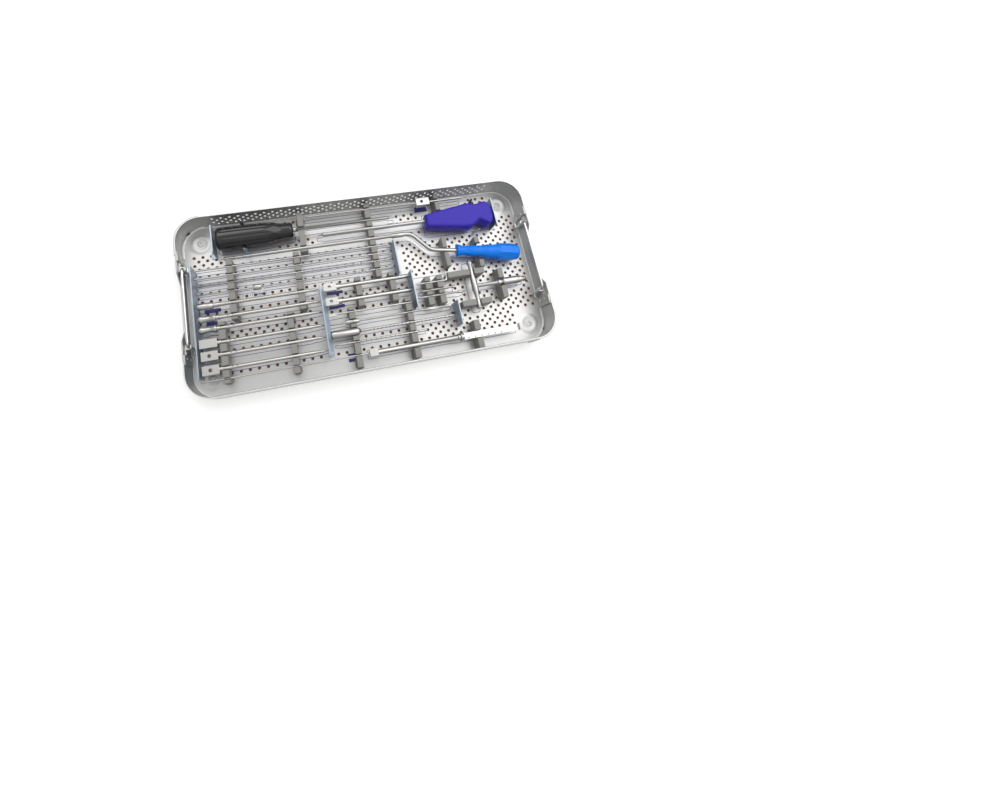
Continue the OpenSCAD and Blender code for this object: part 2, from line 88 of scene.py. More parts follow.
FLOOR_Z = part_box("floor_pan")[1].z
SHEET = FLOOR_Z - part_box("floor_pan")[0].z
AXIS_Z = centre("guide_pin_rear").z
TRAY_L = CAD_HI.x - CAD_LO.x
TRAY_W = CAD_HI.y - CAD_LO.y
RIM_Z = CAD_HI.z
CORNER_R = 32 * MM
SEAM_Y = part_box("wall_back")[0].y + 8 * MM


# ------------------------------------------------------------------ sizes and colours


def colour_property(name, description, default):
    return bpy.props.FloatVectorProperty(
        name=name, description=description, default=default, subtype="COLOR", size=3
    )


class TraySheetSizes(bpy.types.PropertyGroup):
    pitch: bpy.props.FloatProperty(
        name="Hole pitch", description="Distance between holes in a row", default=11.364 * MM, unit="LENGTH"
    )
    hole: bpy.props.FloatProperty(
        name="Hole diameter", description="Diameter of the punched holes", default=4.3 * MM, unit="LENGTH"
    )
    floor_columns: bpy.props.IntProperty(
        name="Floor columns", description="Half pitches from the middle to the last holes", default=40
    )
    floor_rows: bpy.props.IntProperty(
        name="Floor rows", description="Half pitches across from the middle to the last holes", default=18
    )
    wall_columns: bpy.props.IntProperty(
        name="Wall columns", description="Half pitches from the middle to a wall's last holes", default=34
    )
    wall_rows: bpy.props.IntProperty(
        name="Wall rows", description="Half pitches from a wall band's middle row to its last", default=2
    )
    sheet_colour: colour_property("Sheet colour", "Colour of the brushed sheet", (0.60, 0.60, 0.595))
    wall_colour: colour_property("Wall colour", "Colour of the satin walls", (0.53, 0.53, 0.52))


class TrayGripColours(bpy.types.PropertyGroup):
    black: colour_property("Black grip", "Colour of the fluted grip", (0.012, 0.012, 0.013))
    violet: colour_property("Violet grip", "Colour of the pistol grip", (0.045, 0.028, 0.42))
    blue: colour_property("Blue grip", "Colour of the curved tool's grip", (0.0, 0.20, 0.86))
    bracket: colour_property("Brackets", "Colour of the coated combs and posts", (0.255, 0.25, 0.235))
    plate: colour_property("Stop plates", "Colour of the blue-grey sheet", (0.36, 0.42, 0.49))
    print_ink: colour_property("Printed outlines", "Colour of the printed outlines", (0.035, 0.04, 0.22))


# ------------------------------------------------------------------ shader groups


def group_socket(tree, name, in_out, kind, default=None):
    socket = tree.interface.new_socket(name=name, in_out=in_out, socket_type=kind)
    if default is not None:
        socket.default_value = default
    return socket


def grain_group():
    """Fine parallel scratches that run along X: a mask for roughness and bump."""
    name = "Brushed grain"
    if name in bpy.data.node_groups:
        return bpy.data.node_groups[name]
    tree = bpy.data.node_groups.new(name, "ShaderNodeTree")
    group_socket(tree, "Along", "INPUT", "NodeSocketFloat", 30.0)
    group_socket(tree, "Across", "INPUT", "NodeSocketFloat", 3000.0)
    group_socket(tree, "Mask", "OUTPUT", "NodeSocketFloat")
    nodes, links = tree.nodes, tree.links
    inputs = nodes.new("NodeGroupInput")
    outputs = nodes.new("NodeGroupOutput")
    coords = nodes.new("ShaderNodeTexCoord")
    scale = nodes.new("ShaderNodeCombineXYZ")
    links.new(inputs.outputs["Along"], scale.inputs["X"])
    links.new(inputs.outputs["Across"], scale.inputs["Y"])
    links.new(inputs.outputs["Across"], scale.inputs["Z"])
    mapping = nodes.new("ShaderNodeMapping")
    links.new(coords.outputs["Object"], mapping.inputs["Vector"])
    links.new(scale.outputs["Vector"], mapping.inputs["Scale"])
    noise = nodes.new("ShaderNodeTexNoise")
    noise.inputs["Scale"].default_value = 1.0
    noise.inputs["Detail"].default_value = 3.0
    links.new(mapping.outputs["Vector"], noise.inputs["Vector"])
    links.new(noise.outputs["Fac"], outputs.inputs["Mask"])
    return tree


def handling_group():
    """Soft cloudy marks left by handling: a mask between 0 and 1."""
    name = "Handling marks"
    if name in bpy.data.node_groups:
        return bpy.data.node_groups[name]
    tree = bpy.data.node_groups.new(name, "ShaderNodeTree")
    group_socket(tree, "Scale", "INPUT", "NodeSocketFloat", 40.0)
    group_socket(tree, "Contrast", "INPUT", "NodeSocketFloat", 0.5)
    group_socket(tree, "Mask", "OUTPUT", "NodeSocketFloat")
    nodes, links = tree.nodes, tree.links
    inputs = nodes.new("NodeGroupInput")
    outputs = nodes.new("NodeGroupOutput")
    coords = nodes.new("ShaderNodeTexCoord")
    noise = nodes.new("ShaderNodeTexNoise")
    noise.inputs["Detail"].default_value = 5.0
    noise.inputs["Roughness"].default_value = 0.65
    links.new(coords.outputs["Object"], noise.inputs["Vector"])
    links.new(inputs.outputs["Scale"], noise.inputs["Scale"])
    spread = nodes.new("ShaderNodeMath")
    spread.operation = "MULTIPLY_ADD"
    spread.use_clamp = True
    links.new(noise.outputs["Fac"], spread.inputs[0])
    links.new(inputs.outputs["Contrast"], spread.inputs[1])
    spread.inputs[2].default_value = 0.25
    links.new(spread.outputs["Value"], outputs.inputs["Mask"])
    return tree


def edge_group():
    """Mask of worn outer edges, found by comparing the rounded and the true surface direction."""
    name = "Edge wear"
    if name in bpy.data.node_groups:
        return bpy.data.node_groups[name]
    tree = bpy.data.node_groups.new(name, "ShaderNodeTree")
    group_socket(tree, "Amount", "INPUT", "NodeSocketFloat", 4.0)
    group_socket(tree, "Mask", "OUTPUT", "NodeSocketFloat")
    nodes, links = tree.nodes, tree.links
    inputs = nodes.new("NodeGroupInput")
    outputs = nodes.new("NodeGroupOutput")
    bevel = nodes.new("ShaderNodeBevel")
    bevel.samples = 4
    bevel.inputs["Radius"].default_value = 0.8 * MM
    geometry = nodes.new("ShaderNodeNewGeometry")
    dot = nodes.new("ShaderNodeVectorMath")
    dot.operation = "DOT_PRODUCT"
    links.new(bevel.outputs["Normal"], dot.inputs[0])
    links.new(geometry.outputs["Normal"], dot.inputs[1])
    invert = nodes.new("ShaderNodeMath")
    invert.operation = "SUBTRACT"
    invert.inputs[0].default_value = 1.0
    links.new(dot.outputs["Value"], invert.inputs[1])
    gain = nodes.new("ShaderNodeMath")
    gain.operation = "MULTIPLY"
    gain.use_clamp = True
    links.new(invert.outputs["Value"], gain.inputs[0])
    links.new(inputs.outputs["Amount"], gain.inputs[1])
    links.new(gain.outputs["Value"], outputs.inputs["Mask"])
    return tree


def place_group(tree, group, **values):
    node = tree.nodes.new("ShaderNodeGroup")
    node.node_tree = group
    for name, value in values.items():
        node.inputs[name].default_value = value
    return node


def finish_material(name, colour, light, dark, roughness, metallic=0.0, grain=None, wear=0.0,
                    bump=0.0, cloud_scale=40.0, coat=0.0, specular=0.5):
    """A finish whose colour drifts between dark and light, with optional brushed grain and edge wear.

    light and dark are factors on the colour, roughness is (smooth, rough), grain is (along, across)."""
    if name in bpy.data.materials:
        return bpy.data.materials[name]
    material = bpy.data.materials.new(name)
    material.use_nodes = True
    tree = material.node_tree
    nodes, links = tree.nodes, tree.links
    shader = nodes["Principled BSDF"]
    shader.inputs["Metallic"].default_value = metallic
    shader.inputs["Coat Weight"].default_value = coat
    shader.inputs["Specular IOR Level"].default_value = specular
    material.diffuse_color = (*colour, 1.0)
    cloud = place_group(tree, handling_group(), Scale=cloud_scale, Contrast=0.5)
    drift = nodes.new("ShaderNodeMix")
    drift.data_type = "RGBA"
    drift.inputs["A"].default_value = (*[min(1.0, c * dark) for c in colour], 1.0)
    drift.inputs["B"].default_value = (*[min(1.0, c * light) for c in colour], 1.0)
    mask = cloud.outputs["Mask"]
    if grain:
        scratches = place_group(tree, grain_group(), Along=grain[0], Across=grain[1])
        both = nodes.new("ShaderNodeMix")
        both.inputs["Factor"].default_value = 0.6
        links.new(mask, both.inputs["A"])
        links.new(scratches.outputs["Mask"], both.inputs["B"])
        mask = both.outputs["Result"]
    links.new(mask, drift.inputs["Factor"])
    colour_out = drift.outputs["Result"]
    if wear:
        worn = place_group(tree, edge_group(), Amount=4.0)
        lift = nodes.new("ShaderNodeMix")
        lift.data_type = "RGBA"
        lift.inputs["B"].default_value = (*[min(1.0, c + wear) for c in colour], 1.0)
        links.new(worn.outputs["Mask"], lift.inputs["Factor"])
        links.new(colour_out, lift.inputs["A"])
        colour_out = lift.outputs["Result"]
    links.new(colour_out, shader.inputs["Base Color"])
    rough = nodes.new("ShaderNodeMapRange")
    rough.inputs["To Min"].default_value = roughness[0]
    rough.inputs["To Max"].default_value = roughness[1]
    links.new(mask, rough.inputs["Value"])
    links.new(rough.outputs["Result"], shader.inputs["Roughness"])
    if bump:
        relief = nodes.new("ShaderNodeBump")
        relief.inputs["Distance"].default_value = 0.05 * MM
        relief.inputs["Strength"].default_value = bump
        links.new(mask, relief.inputs["Height"])
        links.new(relief.outputs["Normal"], shader.inputs["Normal"])
    return material


def sheet_brushed():
    colour = tuple(bpy.context.scene.tray_sheet.sheet_colour)
    return finish_material("Brushed floor sheet", colour, 1.16, 0.9, (0.36, 0.5), metallic=0.85,
                           grain=(25.0, 2600.0), bump=0.15, cloud_scale=9.0)


def sheet_satin():
    colour = tuple(bpy.context.scene.tray_sheet.wall_colour)
    return finish_material("Satin wall sheet", colour, 1.06, 0.94, (0.38, 0.5), metallic=0.9,
                           grain=(60.0, 1800.0), bump=0.1, cloud_scale=14.0)


# Lighter than the sheets: a painted highlight on the rim's bare edge and on the floor's corner bead.
def bare_edge_highlight():
    return finish_material("Bare edge, painted highlight", (0.80, 0.80, 0.80), 1.05, 0.92, (0.4, 0.52), metallic=0.8,
                           grain=(200.0, 2000.0))


def polished_steel():
    return finish_material("Polished wire", (0.70, 0.70, 0.69), 1.08, 0.9, (0.22, 0.34), metallic=1.0,
                           cloud_scale=90.0)


def instrument_steel():
    return finish_material("Instrument steel", (0.56, 0.555, 0.54), 1.12, 0.84, (0.24, 0.38), metallic=1.0,
                           grain=(250.0, 2500.0), bump=0.12, cloud_scale=60.0)


# Dark metal used only for the strip inside the rim: a painted shade line.
def painted_shade_steel():
    return finish_material("Painted shade line", (0.25, 0.25, 0.245), 1.1, 0.85, (0.4, 0.56), metallic=0.8,
                           grain=(900.0, 900.0), bump=0.25, cloud_scale=120.0)


def nylon_coat():
    colour = tuple(bpy.context.scene.tray_grips.bracket)
    return finish_material("Nylon coating", colour, 1.15, 0.88, (0.42, 0.6), wear=0.05, bump=0.35,
                           cloud_scale=260.0)


def plate_coat():
    colour = tuple(bpy.context.scene.tray_grips.plate)
    return finish_material("Blue-grey sheet", colour, 1.08, 0.92, (0.3, 0.44), metallic=0.75, wear=0.3,
                           grain=(300.0, 300.0), cloud_scale=50.0)


def grip_plastic(name, colour, roughness, coat=0.1, specular=0.5):
    return finish_material(name, tuple(colour), 1.1, 0.92, roughness, bump=0.2, cloud_scale=420.0, coat=coat,
                           specular=specular)


def ink():
    colour = tuple(bpy.context.scene.tray_grips.print_ink)
    return finish_material("Printed outlines", colour, 1.2, 0.9, (0.4, 0.6), cloud_scale=120.0)


def scale_black():
    return finish_material("Engraved black", (0.03, 0.03, 0.032), 1.2, 0.9, (0.45, 0.6), cloud_scale=200.0)


def foot_rubber():
    return finish_material("Foot rubber", (0.05, 0.05, 0.052), 1.2, 0.85, (0.6, 0.8), bump=0.3,
                           cloud_scale=300.0)


# ------------------------------------------------------------------ mesh helpers


def add_piece(name, bm, material, body=ROOT, replaces=(), smooth_deg=35.0, flats=False):
    """Turns a bmesh into a finished piece that rides on a body."""
    mesh = bpy.data.meshes.new(name)
    bm.to_mesh(mesh)
    bm.free()
    return add_mesh(name, mesh, material, body, replaces, smooth_deg, flats)


def add_solid(name, bm, material, body=ROOT, replaces=(), smooth_deg=35.0, flats=False):
    """Turns a bmesh of closed solids into a finished piece, its faces pointing outwards."""
    bmesh.ops.recalc_face_normals(bm, faces=bm.faces)
    return add_piece(name, bm, material, body, replaces, smooth_deg, flats)


def keep_flats(mesh):
    """Shades a face flat unless it turns gently into a neighbour, as the faces of a round bar do."""
    round_faces = set()
    bm = bmesh.new()
    bm.from_mesh(mesh)
    for edge in bm.edges:
        if len(edge.link_faces) == 2 and math.radians(0.7) < edge.calc_face_angle(0.0) < math.radians(16):
            round_faces.update(face.index for face in edge.link_faces)
    bm.free()
    for face in mesh.polygons:
        face.use_smooth = face.index in round_faces


def add_mesh(name, mesh, material, body=ROOT, replaces=(), smooth_deg=35.0, flats=False):
    mesh.materials.clear()
    mesh.materials.append(material)
    mesh.polygons.foreach_set("use_smooth", [True] * len(mesh.polygons))
    mesh.set_sharp_from_angle(angle=math.radians(smooth_deg))
    if flats:
        keep_flats(mesh)
    piece = bpy.data.objects.new(name, mesh)
    bpy.context.scene.collection.objects.link(piece)
    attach(piece, body)
    if replaces:
        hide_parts(*replaces)
    return piece


def node_copy(node):
    """A welded copy of a CAD node's mesh with its flat faces joined."""
    bm = bmesh.new()
    bm.from_mesh(frame["nodes"][node].data)
    bmesh.ops.remove_doubles(bm, verts=bm.verts, dist=1e-6)
    bmesh.ops.dissolve_limit(
        bm, angle_limit=math.radians(0.6), verts=bm.verts, edges=bm.edges, use_dissolve_boundaries=False
    )
    return bm


def refine(node, material, bevel=0.0, segments=2, smooth_deg=35.0):
    """Replaces a CAD node with the same solid, with rounded edges and smooth turned faces."""
    bm = node_copy(node)
    if bevel:
        sharp = [e for e in bm.edges if len(e.link_faces) == 2 and e.calc_face_angle(0.0) > math.radians(40)]
        bmesh.ops.bevel(bm, geom=sharp, offset=bevel, segments=segments, profile=0.5,
                        affect="EDGES", clamp_overlap=True)
    return add_solid(node + "_finished", bm, material, node_body(node), (node,), smooth_deg, True)


def lathe(bm, origin, profile, turn=None, sides=40, shape=None):
    """Adds a solid turned about X through origin; profile is [(x, radius)] in millimetres from origin.

    shape(x, radius, angle) gives the radius there; turn is a rotation about Z at origin, in degrees."""
    place = Matrix.Translation(origin) @ Matrix.Rotation(math.radians(turn or 0.0), 4, "Z")
    rings = []
    for x, radius in profile:
        ring = []
        for i in range(sides):
            angle = 2 * math.pi * i / sides
            r = shape(x, radius, angle) if shape else radius
            ring.append(bm.verts.new(place @ (Vector((x, r * math.cos(angle), r * math.sin(angle))) * MM)))
        rings.append(ring)
    skin(bm, rings)


def skin(bm, rings, closed=False, caps=True):
    """Joins rings of vertices with quads, with a cap on each end."""
    count = len(rings[0])
    pairs = list(zip(rings, rings[1:]))
    if closed:
        pairs.append((rings[-1], rings[0]))
    for a, b in pairs:
        for i in range(count):
            j = (i + 1) % count
            bm.faces.new((a[i], b[i], b[j], a[j]))
    if caps and not closed:
        bm.faces.new(list(rings[0]))
        bm.faces.new(list(reversed(rings[-1])))


def dense(profile, step):
    """The same profile with extra points no further apart than step."""
    points = [profile[0]]
    for (x0, r0), (x1, r1) in zip(profile, profile[1:]):
        parts = max(1, math.ceil(abs(x1 - x0) / step))
        points += [(x0 + (x1 - x0) * k / parts, r0 + (r1 - r0) * k / parts) for k in range(1, parts + 1)]
    return points


def tube(bm, points, radius, sides=16, closed=False):
    """Adds a round tube along points in metres, with parallel-carried rings."""
    points = [Vector(p) for p in points]
    rings, side = [], None
    for i, p in enumerate(points):
        before = points[i - 1] if i or closed else p
        after = points[(i + 1) % len(points)] if i < len(points) - 1 or closed else p
        along = (after - before).normalized()
        if side is None:
            side = along.orthogonal().normalized()
        side = (side - along * side.dot(along)).normalized()
        up = along.cross(side)
        angles = (2 * math.pi * k / sides for k in range(sides))
        rings.append([bm.verts.new(p + (side * math.cos(a) + up * math.sin(a)) * radius) for a in angles])
    skin(bm, rings, closed=closed)


def arc(cx, cy, r, a0, a1, steps):
    """Plan points on an arc, in degrees."""
    return [
        (cx + r * math.cos(math.radians(a0 + (a1 - a0) * k / steps)),
         cy + r * math.sin(math.radians(a0 + (a1 - a0) * k / steps)))
        for k in range(steps + 1)
    ]


def rounded_plan(length, width, radius, steps=14):
    """Plan outline of a rounded rectangle about the origin, anticlockwise."""
    points = []
    for sx, sy, start in ((1, 1, 0), (-1, 1, 90), (-1, -1, 180), (1, -1, 270)):
        points += arc(sx * (length / 2 - radius), sy * (width / 2 - radius), radius, start, start + 90, steps)
    return points


def plan_sweep(bm, plan, section, closed=True):
    """Sweeps a section [(outward, z)] round plan points, outward being the plan's right-hand side."""
    rings = []
    count = len(plan)
    for i, p in enumerate(plan):
        a = Vector(plan[i - 1] if i or closed else p)
        b = Vector(plan[(i + 1) % count] if i < count - 1 or closed else p)
        along = (b - a).normalized()
        out = Vector((along.y, -along.x))
        rings.append([bm.verts.new((p[0] + out.x * o, p[1] + out.y * o, z)) for o, z in section])
    skin(bm, rings, closed=closed)


def box(bm, lo, hi):
    """Adds a box between two corners in metres."""
    lo, hi = Vector(lo), Vector(hi)
    made = bmesh.ops.create_cube(bm, size=1.0)["verts"]
    bmesh.ops.scale(bm, verts=made, vec=hi - lo)
    bmesh.ops.translate(bm, verts=made, vec=(lo + hi) / 2)
    return made


def slab(bm, outline, z0, z1):
    """Adds an extruded plan outline between two heights."""
    low = [bm.verts.new((x, y, z0)) for x, y in outline]
    high = [bm.verts.new((x, y, z1)) for x, y in outline]
    skin(bm, [low, high])


# ------------------------------------------------------------------ perforated sheet


def cell_mesh(name, pitch, hole, sides=12):
    """One brick of sheet, a pitch wide and half a pitch high, with a round hole unless hole is 0."""
    bm = bmesh.new()
    w, h = pitch / 2, pitch / 4
    border = [(-w, -h), (0, -h), (w, -h), (w, h), (0, h), (-w, h)]
    for z in (0.0, -SHEET):
        rim = [bm.verts.new((x, y, z)) for x, y in border]
        edges = [bm.edges.new((rim[i], rim[(i + 1) % 6])) for i in range(6)]
        if hole:
            ring = [
                bm.verts.new((hole / 2 * math.cos(2 * math.pi * k / sides),
                              hole / 2 * math.sin(2 * math.pi * k / sides), z))
                for k in range(sides)
            ]
            edges += [bm.edges.new((ring[i], ring[(i + 1) % sides])) for i in range(sides)]
        bmesh.ops.triangle_fill(bm, edges=edges, use_beauty=True)
    if hole:
        bm.verts.ensure_lookup_table()
        top, low = bm.verts[6:6 + sides], bm.verts[12 + sides:12 + 2 * sides]
        for i in range(sides):
            j = (i + 1) % sides
            bm.faces.new((top[i], top[j], low[j], low[i]))
    for face in bm.faces:
        face.normal_update()
        middle = face.calc_center_median()
        wanted = Vector((0, 0, 1)) if middle.z > -1e-7 else Vector((0, 0, -1))
        if abs(face.normal.z) < 0.5:
            wanted = -Vector((middle.x, middle.y, 0))
        if face.normal.dot(wanted) < 0:
            face.normal_flip()
    mesh = bpy.data.meshes.new(name)
    bm.to_mesh(mesh)
    bm.free()
    return mesh


def math_node(tree, operation, a, b=None):
    node = tree.nodes.new("ShaderNodeMath")
    node.operation = operation
    for i, value in enumerate((a, b)):
        if value is None:
            continue
        if isinstance(value, (int, float)):
            node.inputs[i].default_value = value
        else:
            tree.links.new(value, node.inputs[i])
    return node.outputs["Value"]


def perforation_tree():
    """Lays punched and plain bricks of sheet on a staggered grid."""
    name = "Perforated sheet"
    if name in bpy.data.node_groups:
        return bpy.data.node_groups[name]
    tree = bpy.data.node_groups.new(name, "GeometryNodeTree")
    group_socket(tree, "Geometry", "INPUT", "NodeSocketGeometry")
    group_socket(tree, "Half pitch", "INPUT", "NodeSocketFloat", 5.0 * MM)
    group_socket(tree, "Columns", "INPUT", "NodeSocketInt", 40)
    group_socket(tree, "Rows", "INPUT", "NodeSocketInt", 18)
    group_socket(tree, "Plain beyond X", "INPUT", "NodeSocketFloat", 1.0)
    group_socket(tree, "Plain beyond Y", "INPUT", "NodeSocketFloat", 1.0)
    group_socket(tree, "Plain under", "INPUT", "NodeSocketObject")
    group_socket(tree, "Punched brick", "INPUT", "NodeSocketObject")
    group_socket(tree, "Plain brick", "INPUT", "NodeSocketObject")
    group_socket(tree, "Material", "INPUT", "NodeSocketMaterial")
    group_socket(tree, "Geometry", "OUTPUT", "NodeSocketGeometry")
    nodes, links = tree.nodes, tree.links
    inputs = nodes.new("NodeGroupInput").outputs
    outputs = nodes.new("NodeGroupOutput").inputs
    grid = nodes.new("GeometryNodeMeshGrid")
    for axis, side, count in (("X", "Size X", "Columns"), ("Y", "Size Y", "Rows")):
        span = math_node(tree, "MULTIPLY", inputs[count], 2.0)
        links.new(math_node(tree, "MULTIPLY", span, inputs["Half pitch"]), grid.inputs[side])
        links.new(math_node(tree, "ADD", span, 1.0), grid.inputs["Vertices " + axis])
    place = nodes.new("ShaderNodeSeparateXYZ")
    position = nodes.new("GeometryNodeInputPosition").outputs["Position"]
    links.new(position, place.inputs["Vector"])
    column = math_node(tree, "ROUND", math_node(tree, "DIVIDE", place.outputs["X"], inputs["Half pitch"]))
    row = math_node(tree, "ROUND", math_node(tree, "DIVIDE", place.outputs["Y"], inputs["Half pitch"]))
    both = math_node(tree, "ADD", math_node(tree, "ADD", column, row), 1000.0)
    staggered = math_node(tree, "LESS_THAN", math_node(tree, "MODULO", both, 2.0), 0.5)
    far_x, far_y = (
        math_node(tree, "GREATER_THAN", math_node(tree, "ABSOLUTE", place.outputs[axis]),
                  inputs["Plain beyond " + axis])
        for axis in ("X", "Y")
    )
    shade = nodes.new("GeometryNodeObjectInfo")
    links.new(inputs["Plain under"], shade.inputs["Object"])
    ray = nodes.new("GeometryNodeRaycast")
    ray.inputs["Ray Length"].default_value = 1.0
    lift = nodes.new("ShaderNodeVectorMath")
    lift.inputs[1].default_value = (0.0, 0.0, 0.5)
    links.new(position, lift.inputs[0])
    links.new(shade.outputs["Geometry"], ray.inputs["Target Geometry"])
    links.new(lift.outputs["Vector"], ray.inputs["Source Position"])
    corner = math_node(tree, "MULTIPLY", far_x, far_y)
    plain = math_node(tree, "MAXIMUM", corner, ray.outputs["Is Hit"])
    punched = math_node(tree, "SUBTRACT", 1.0, plain)
    join = nodes.new("GeometryNodeJoinGeometry")
    for brick, mask in (("Punched brick", punched), ("Plain brick", plain)):
        source = nodes.new("GeometryNodeObjectInfo")
        links.new(inputs[brick], source.inputs["Object"])
        lay = nodes.new("GeometryNodeInstanceOnPoints")
        links.new(grid.outputs["Mesh"], lay.inputs["Points"])
        links.new(math_node(tree, "MULTIPLY", staggered, mask), lay.inputs["Selection"])
        links.new(source.outputs["Geometry"], lay.inputs["Instance"])
        links.new(lay.outputs["Instances"], join.inputs["Geometry"])
    real = nodes.new("GeometryNodeRealizeInstances")
    links.new(join.outputs["Geometry"], real.inputs["Geometry"])
    weld = nodes.new("GeometryNodeMergeByDistance")
    weld.inputs["Distance"].default_value = 0.01 * MM
    links.new(real.outputs["Geometry"], weld.inputs["Geometry"])
    paint = nodes.new("GeometryNodeSetMaterial")
    links.new(weld.outputs["Geometry"], paint.inputs["Geometry"])
    links.new(inputs["Material"], paint.inputs["Material"])
    links.new(paint.outputs["Geometry"], outputs["Geometry"])
    return tree


def run_tree(tree, material, **values):
    """Evaluates a geometry node tree on an empty mesh and returns the result as a plain mesh."""
    holder = bpy.data.objects.new("tree_holder", bpy.data.meshes.new("tree_holder"))
    bpy.context.scene.collection.objects.link(holder)
    modifier = holder.modifiers.new("Tree", "NODES")
    modifier.node_group = tree
    sockets = {s.name: s.identifier for s in tree.interface.items_tree if s.in_out == "INPUT"}
    for name, value in values.items():
        modifier[sockets[name]] = value
    modifier[sockets["Material"]] = material
    bpy.context.view_layer.update()
    evaluated = holder.evaluated_get(bpy.context.evaluated_depsgraph_get())
    mesh = bpy.data.meshes.new_from_object(evaluated)
    bpy.data.objects.remove(holder, do_unlink=True)
    return mesh


def perforated_band(columns, rows, clear_x, clear_y, material, covers):
    """A staggered field of holes in the XY plane, its top at height 0."""
    sizes = bpy.context.scene.tray_sheet
    shade = bpy.data.objects.new("covered_sheet", cover_mesh(covers))
    bpy.context.scene.collection.objects.link(shade)
    bricks = {}
    for name, hole in (("punched", sizes.hole), ("plain", 0.0)):
        bricks[name] = bpy.data.objects.new(name + "_brick", cell_mesh(name + "_brick", sizes.pitch, hole))
        bpy.context.scene.collection.objects.link(bricks[name])
    mesh = run_tree(perforation_tree(), material, **{
        "Half pitch": sizes.pitch / 2, "Columns": columns, "Rows": rows,
        "Plain beyond X": clear_x, "Plain beyond Y": clear_y, "Plain under": shade,
        "Punched brick": bricks["punched"], "Plain brick": bricks["plain"],
    })
    for used in (shade, *bricks.values()):
        bpy.data.objects.remove(used, do_unlink=True)
    return mesh


def cover_mesh(covers):
    """Flat shapes over the parts of a sheet that have no holes."""
    bm = bmesh.new()
    for outline in covers:
        bm.faces.new([bm.verts.new((x, y, 0)) for x, y in outline])
    mesh = bpy.data.meshes.new("covers")
    bm.to_mesh(mesh)
    bm.free()
    return mesh


def sheet_round_band(bm, outline, columns, rows, half):
    """Fills the sheet between a band of bricks and an outer outline, with the outline's edge faces."""
    x1, y1 = (columns + 1) * half, (rows + 0.5) * half
    inner = []
    xs = [-x1 + k * half for k in range(2 * columns + 3)]
    ys = [-y1 + k * half for k in range(2 * rows + 2)]
    inner += [(x, -y1) for x in xs[:-1]]
    inner += [(x1, y) for y in ys[:-1]]
    inner += [(x, y1) for x in reversed(xs[1:])]
    inner += [(-x1, y) for y in reversed(ys[1:])]
    loops = []
    for z in (0.0, -SHEET):
        outer_ring = [bm.verts.new((x, y, z)) for x, y in outline]
        inner_ring = [bm.verts.new((x, y, z)) for x, y in inner]
        edges = [bm.edges.new((ring[i], ring[(i + 1) % len(ring)]))
                 for ring in (outer_ring, inner_ring) for i in range(len(ring))]
        filled = bmesh.ops.triangle_fill(bm, edges=edges, use_beauty=True)["geom"]
        for face in (g for g in filled if isinstance(g, bmesh.types.BMFace)):
            face.normal_update()
            if (face.normal.z > 0) != (z > -1e-7):
                face.normal_flip()
        loops.append(outer_ring)
        # half bricks at the ends of the rows that stop half a brick short
        for row in range(-rows, rows + 1):
            if (row + columns) % 2:
                for side in (-1, 1):
                    a, b = side * columns * half, side * x1
                    lo, hi = (row - 0.5) * half, (row + 0.5) * half
                    quad = [bm.verts.new((x, y, z)) for x, y in ((a, lo), (b, lo), (b, hi), (a, hi))]
                    face = bm.faces.new(quad)
                    face.normal_update()
                    if (face.normal.z > 0) != (z > -1e-7):
                        face.normal_flip()
    top, low = loops
    for i in range(len(top)):
        j = (i + 1) % len(top)
        bm.faces.new((top[i], low[i], low[j], top[j]))


def perforated_sheet(name, outline, columns, rows, clear, material, place, replaces,
                     shift=(0.0, 0.0), covers=()):
    """A punched sheet with a plain margin, moved into place by a matrix."""
    half = bpy.context.scene.tray_sheet.pitch / 2
    moved = [[(x - shift[0], y - shift[1]) for x, y in outline] for outline in covers]
    field = perforated_band(columns, rows, clear[0], clear[1], material, moved)
    bm = bmesh.new()
    bm.from_mesh(field)
    bpy.data.meshes.remove(field)
    sheet_round_band(bm, [(x - shift[0], y - shift[1]) for x, y in outline], columns, rows, half)
    bmesh.ops.remove_doubles(bm, verts=bm.verts, dist=0.01 * MM)
    bmesh.ops.transform(bm, matrix=place @ Matrix.Translation((shift[0], shift[1], 0)), verts=bm.verts)
    if place.determinant() < 0:
        bmesh.ops.reverse_faces(bm, faces=bm.faces)
    return bm if replaces is None else add_piece(name, bm, material, ROOT, replaces, smooth_deg=30.0)


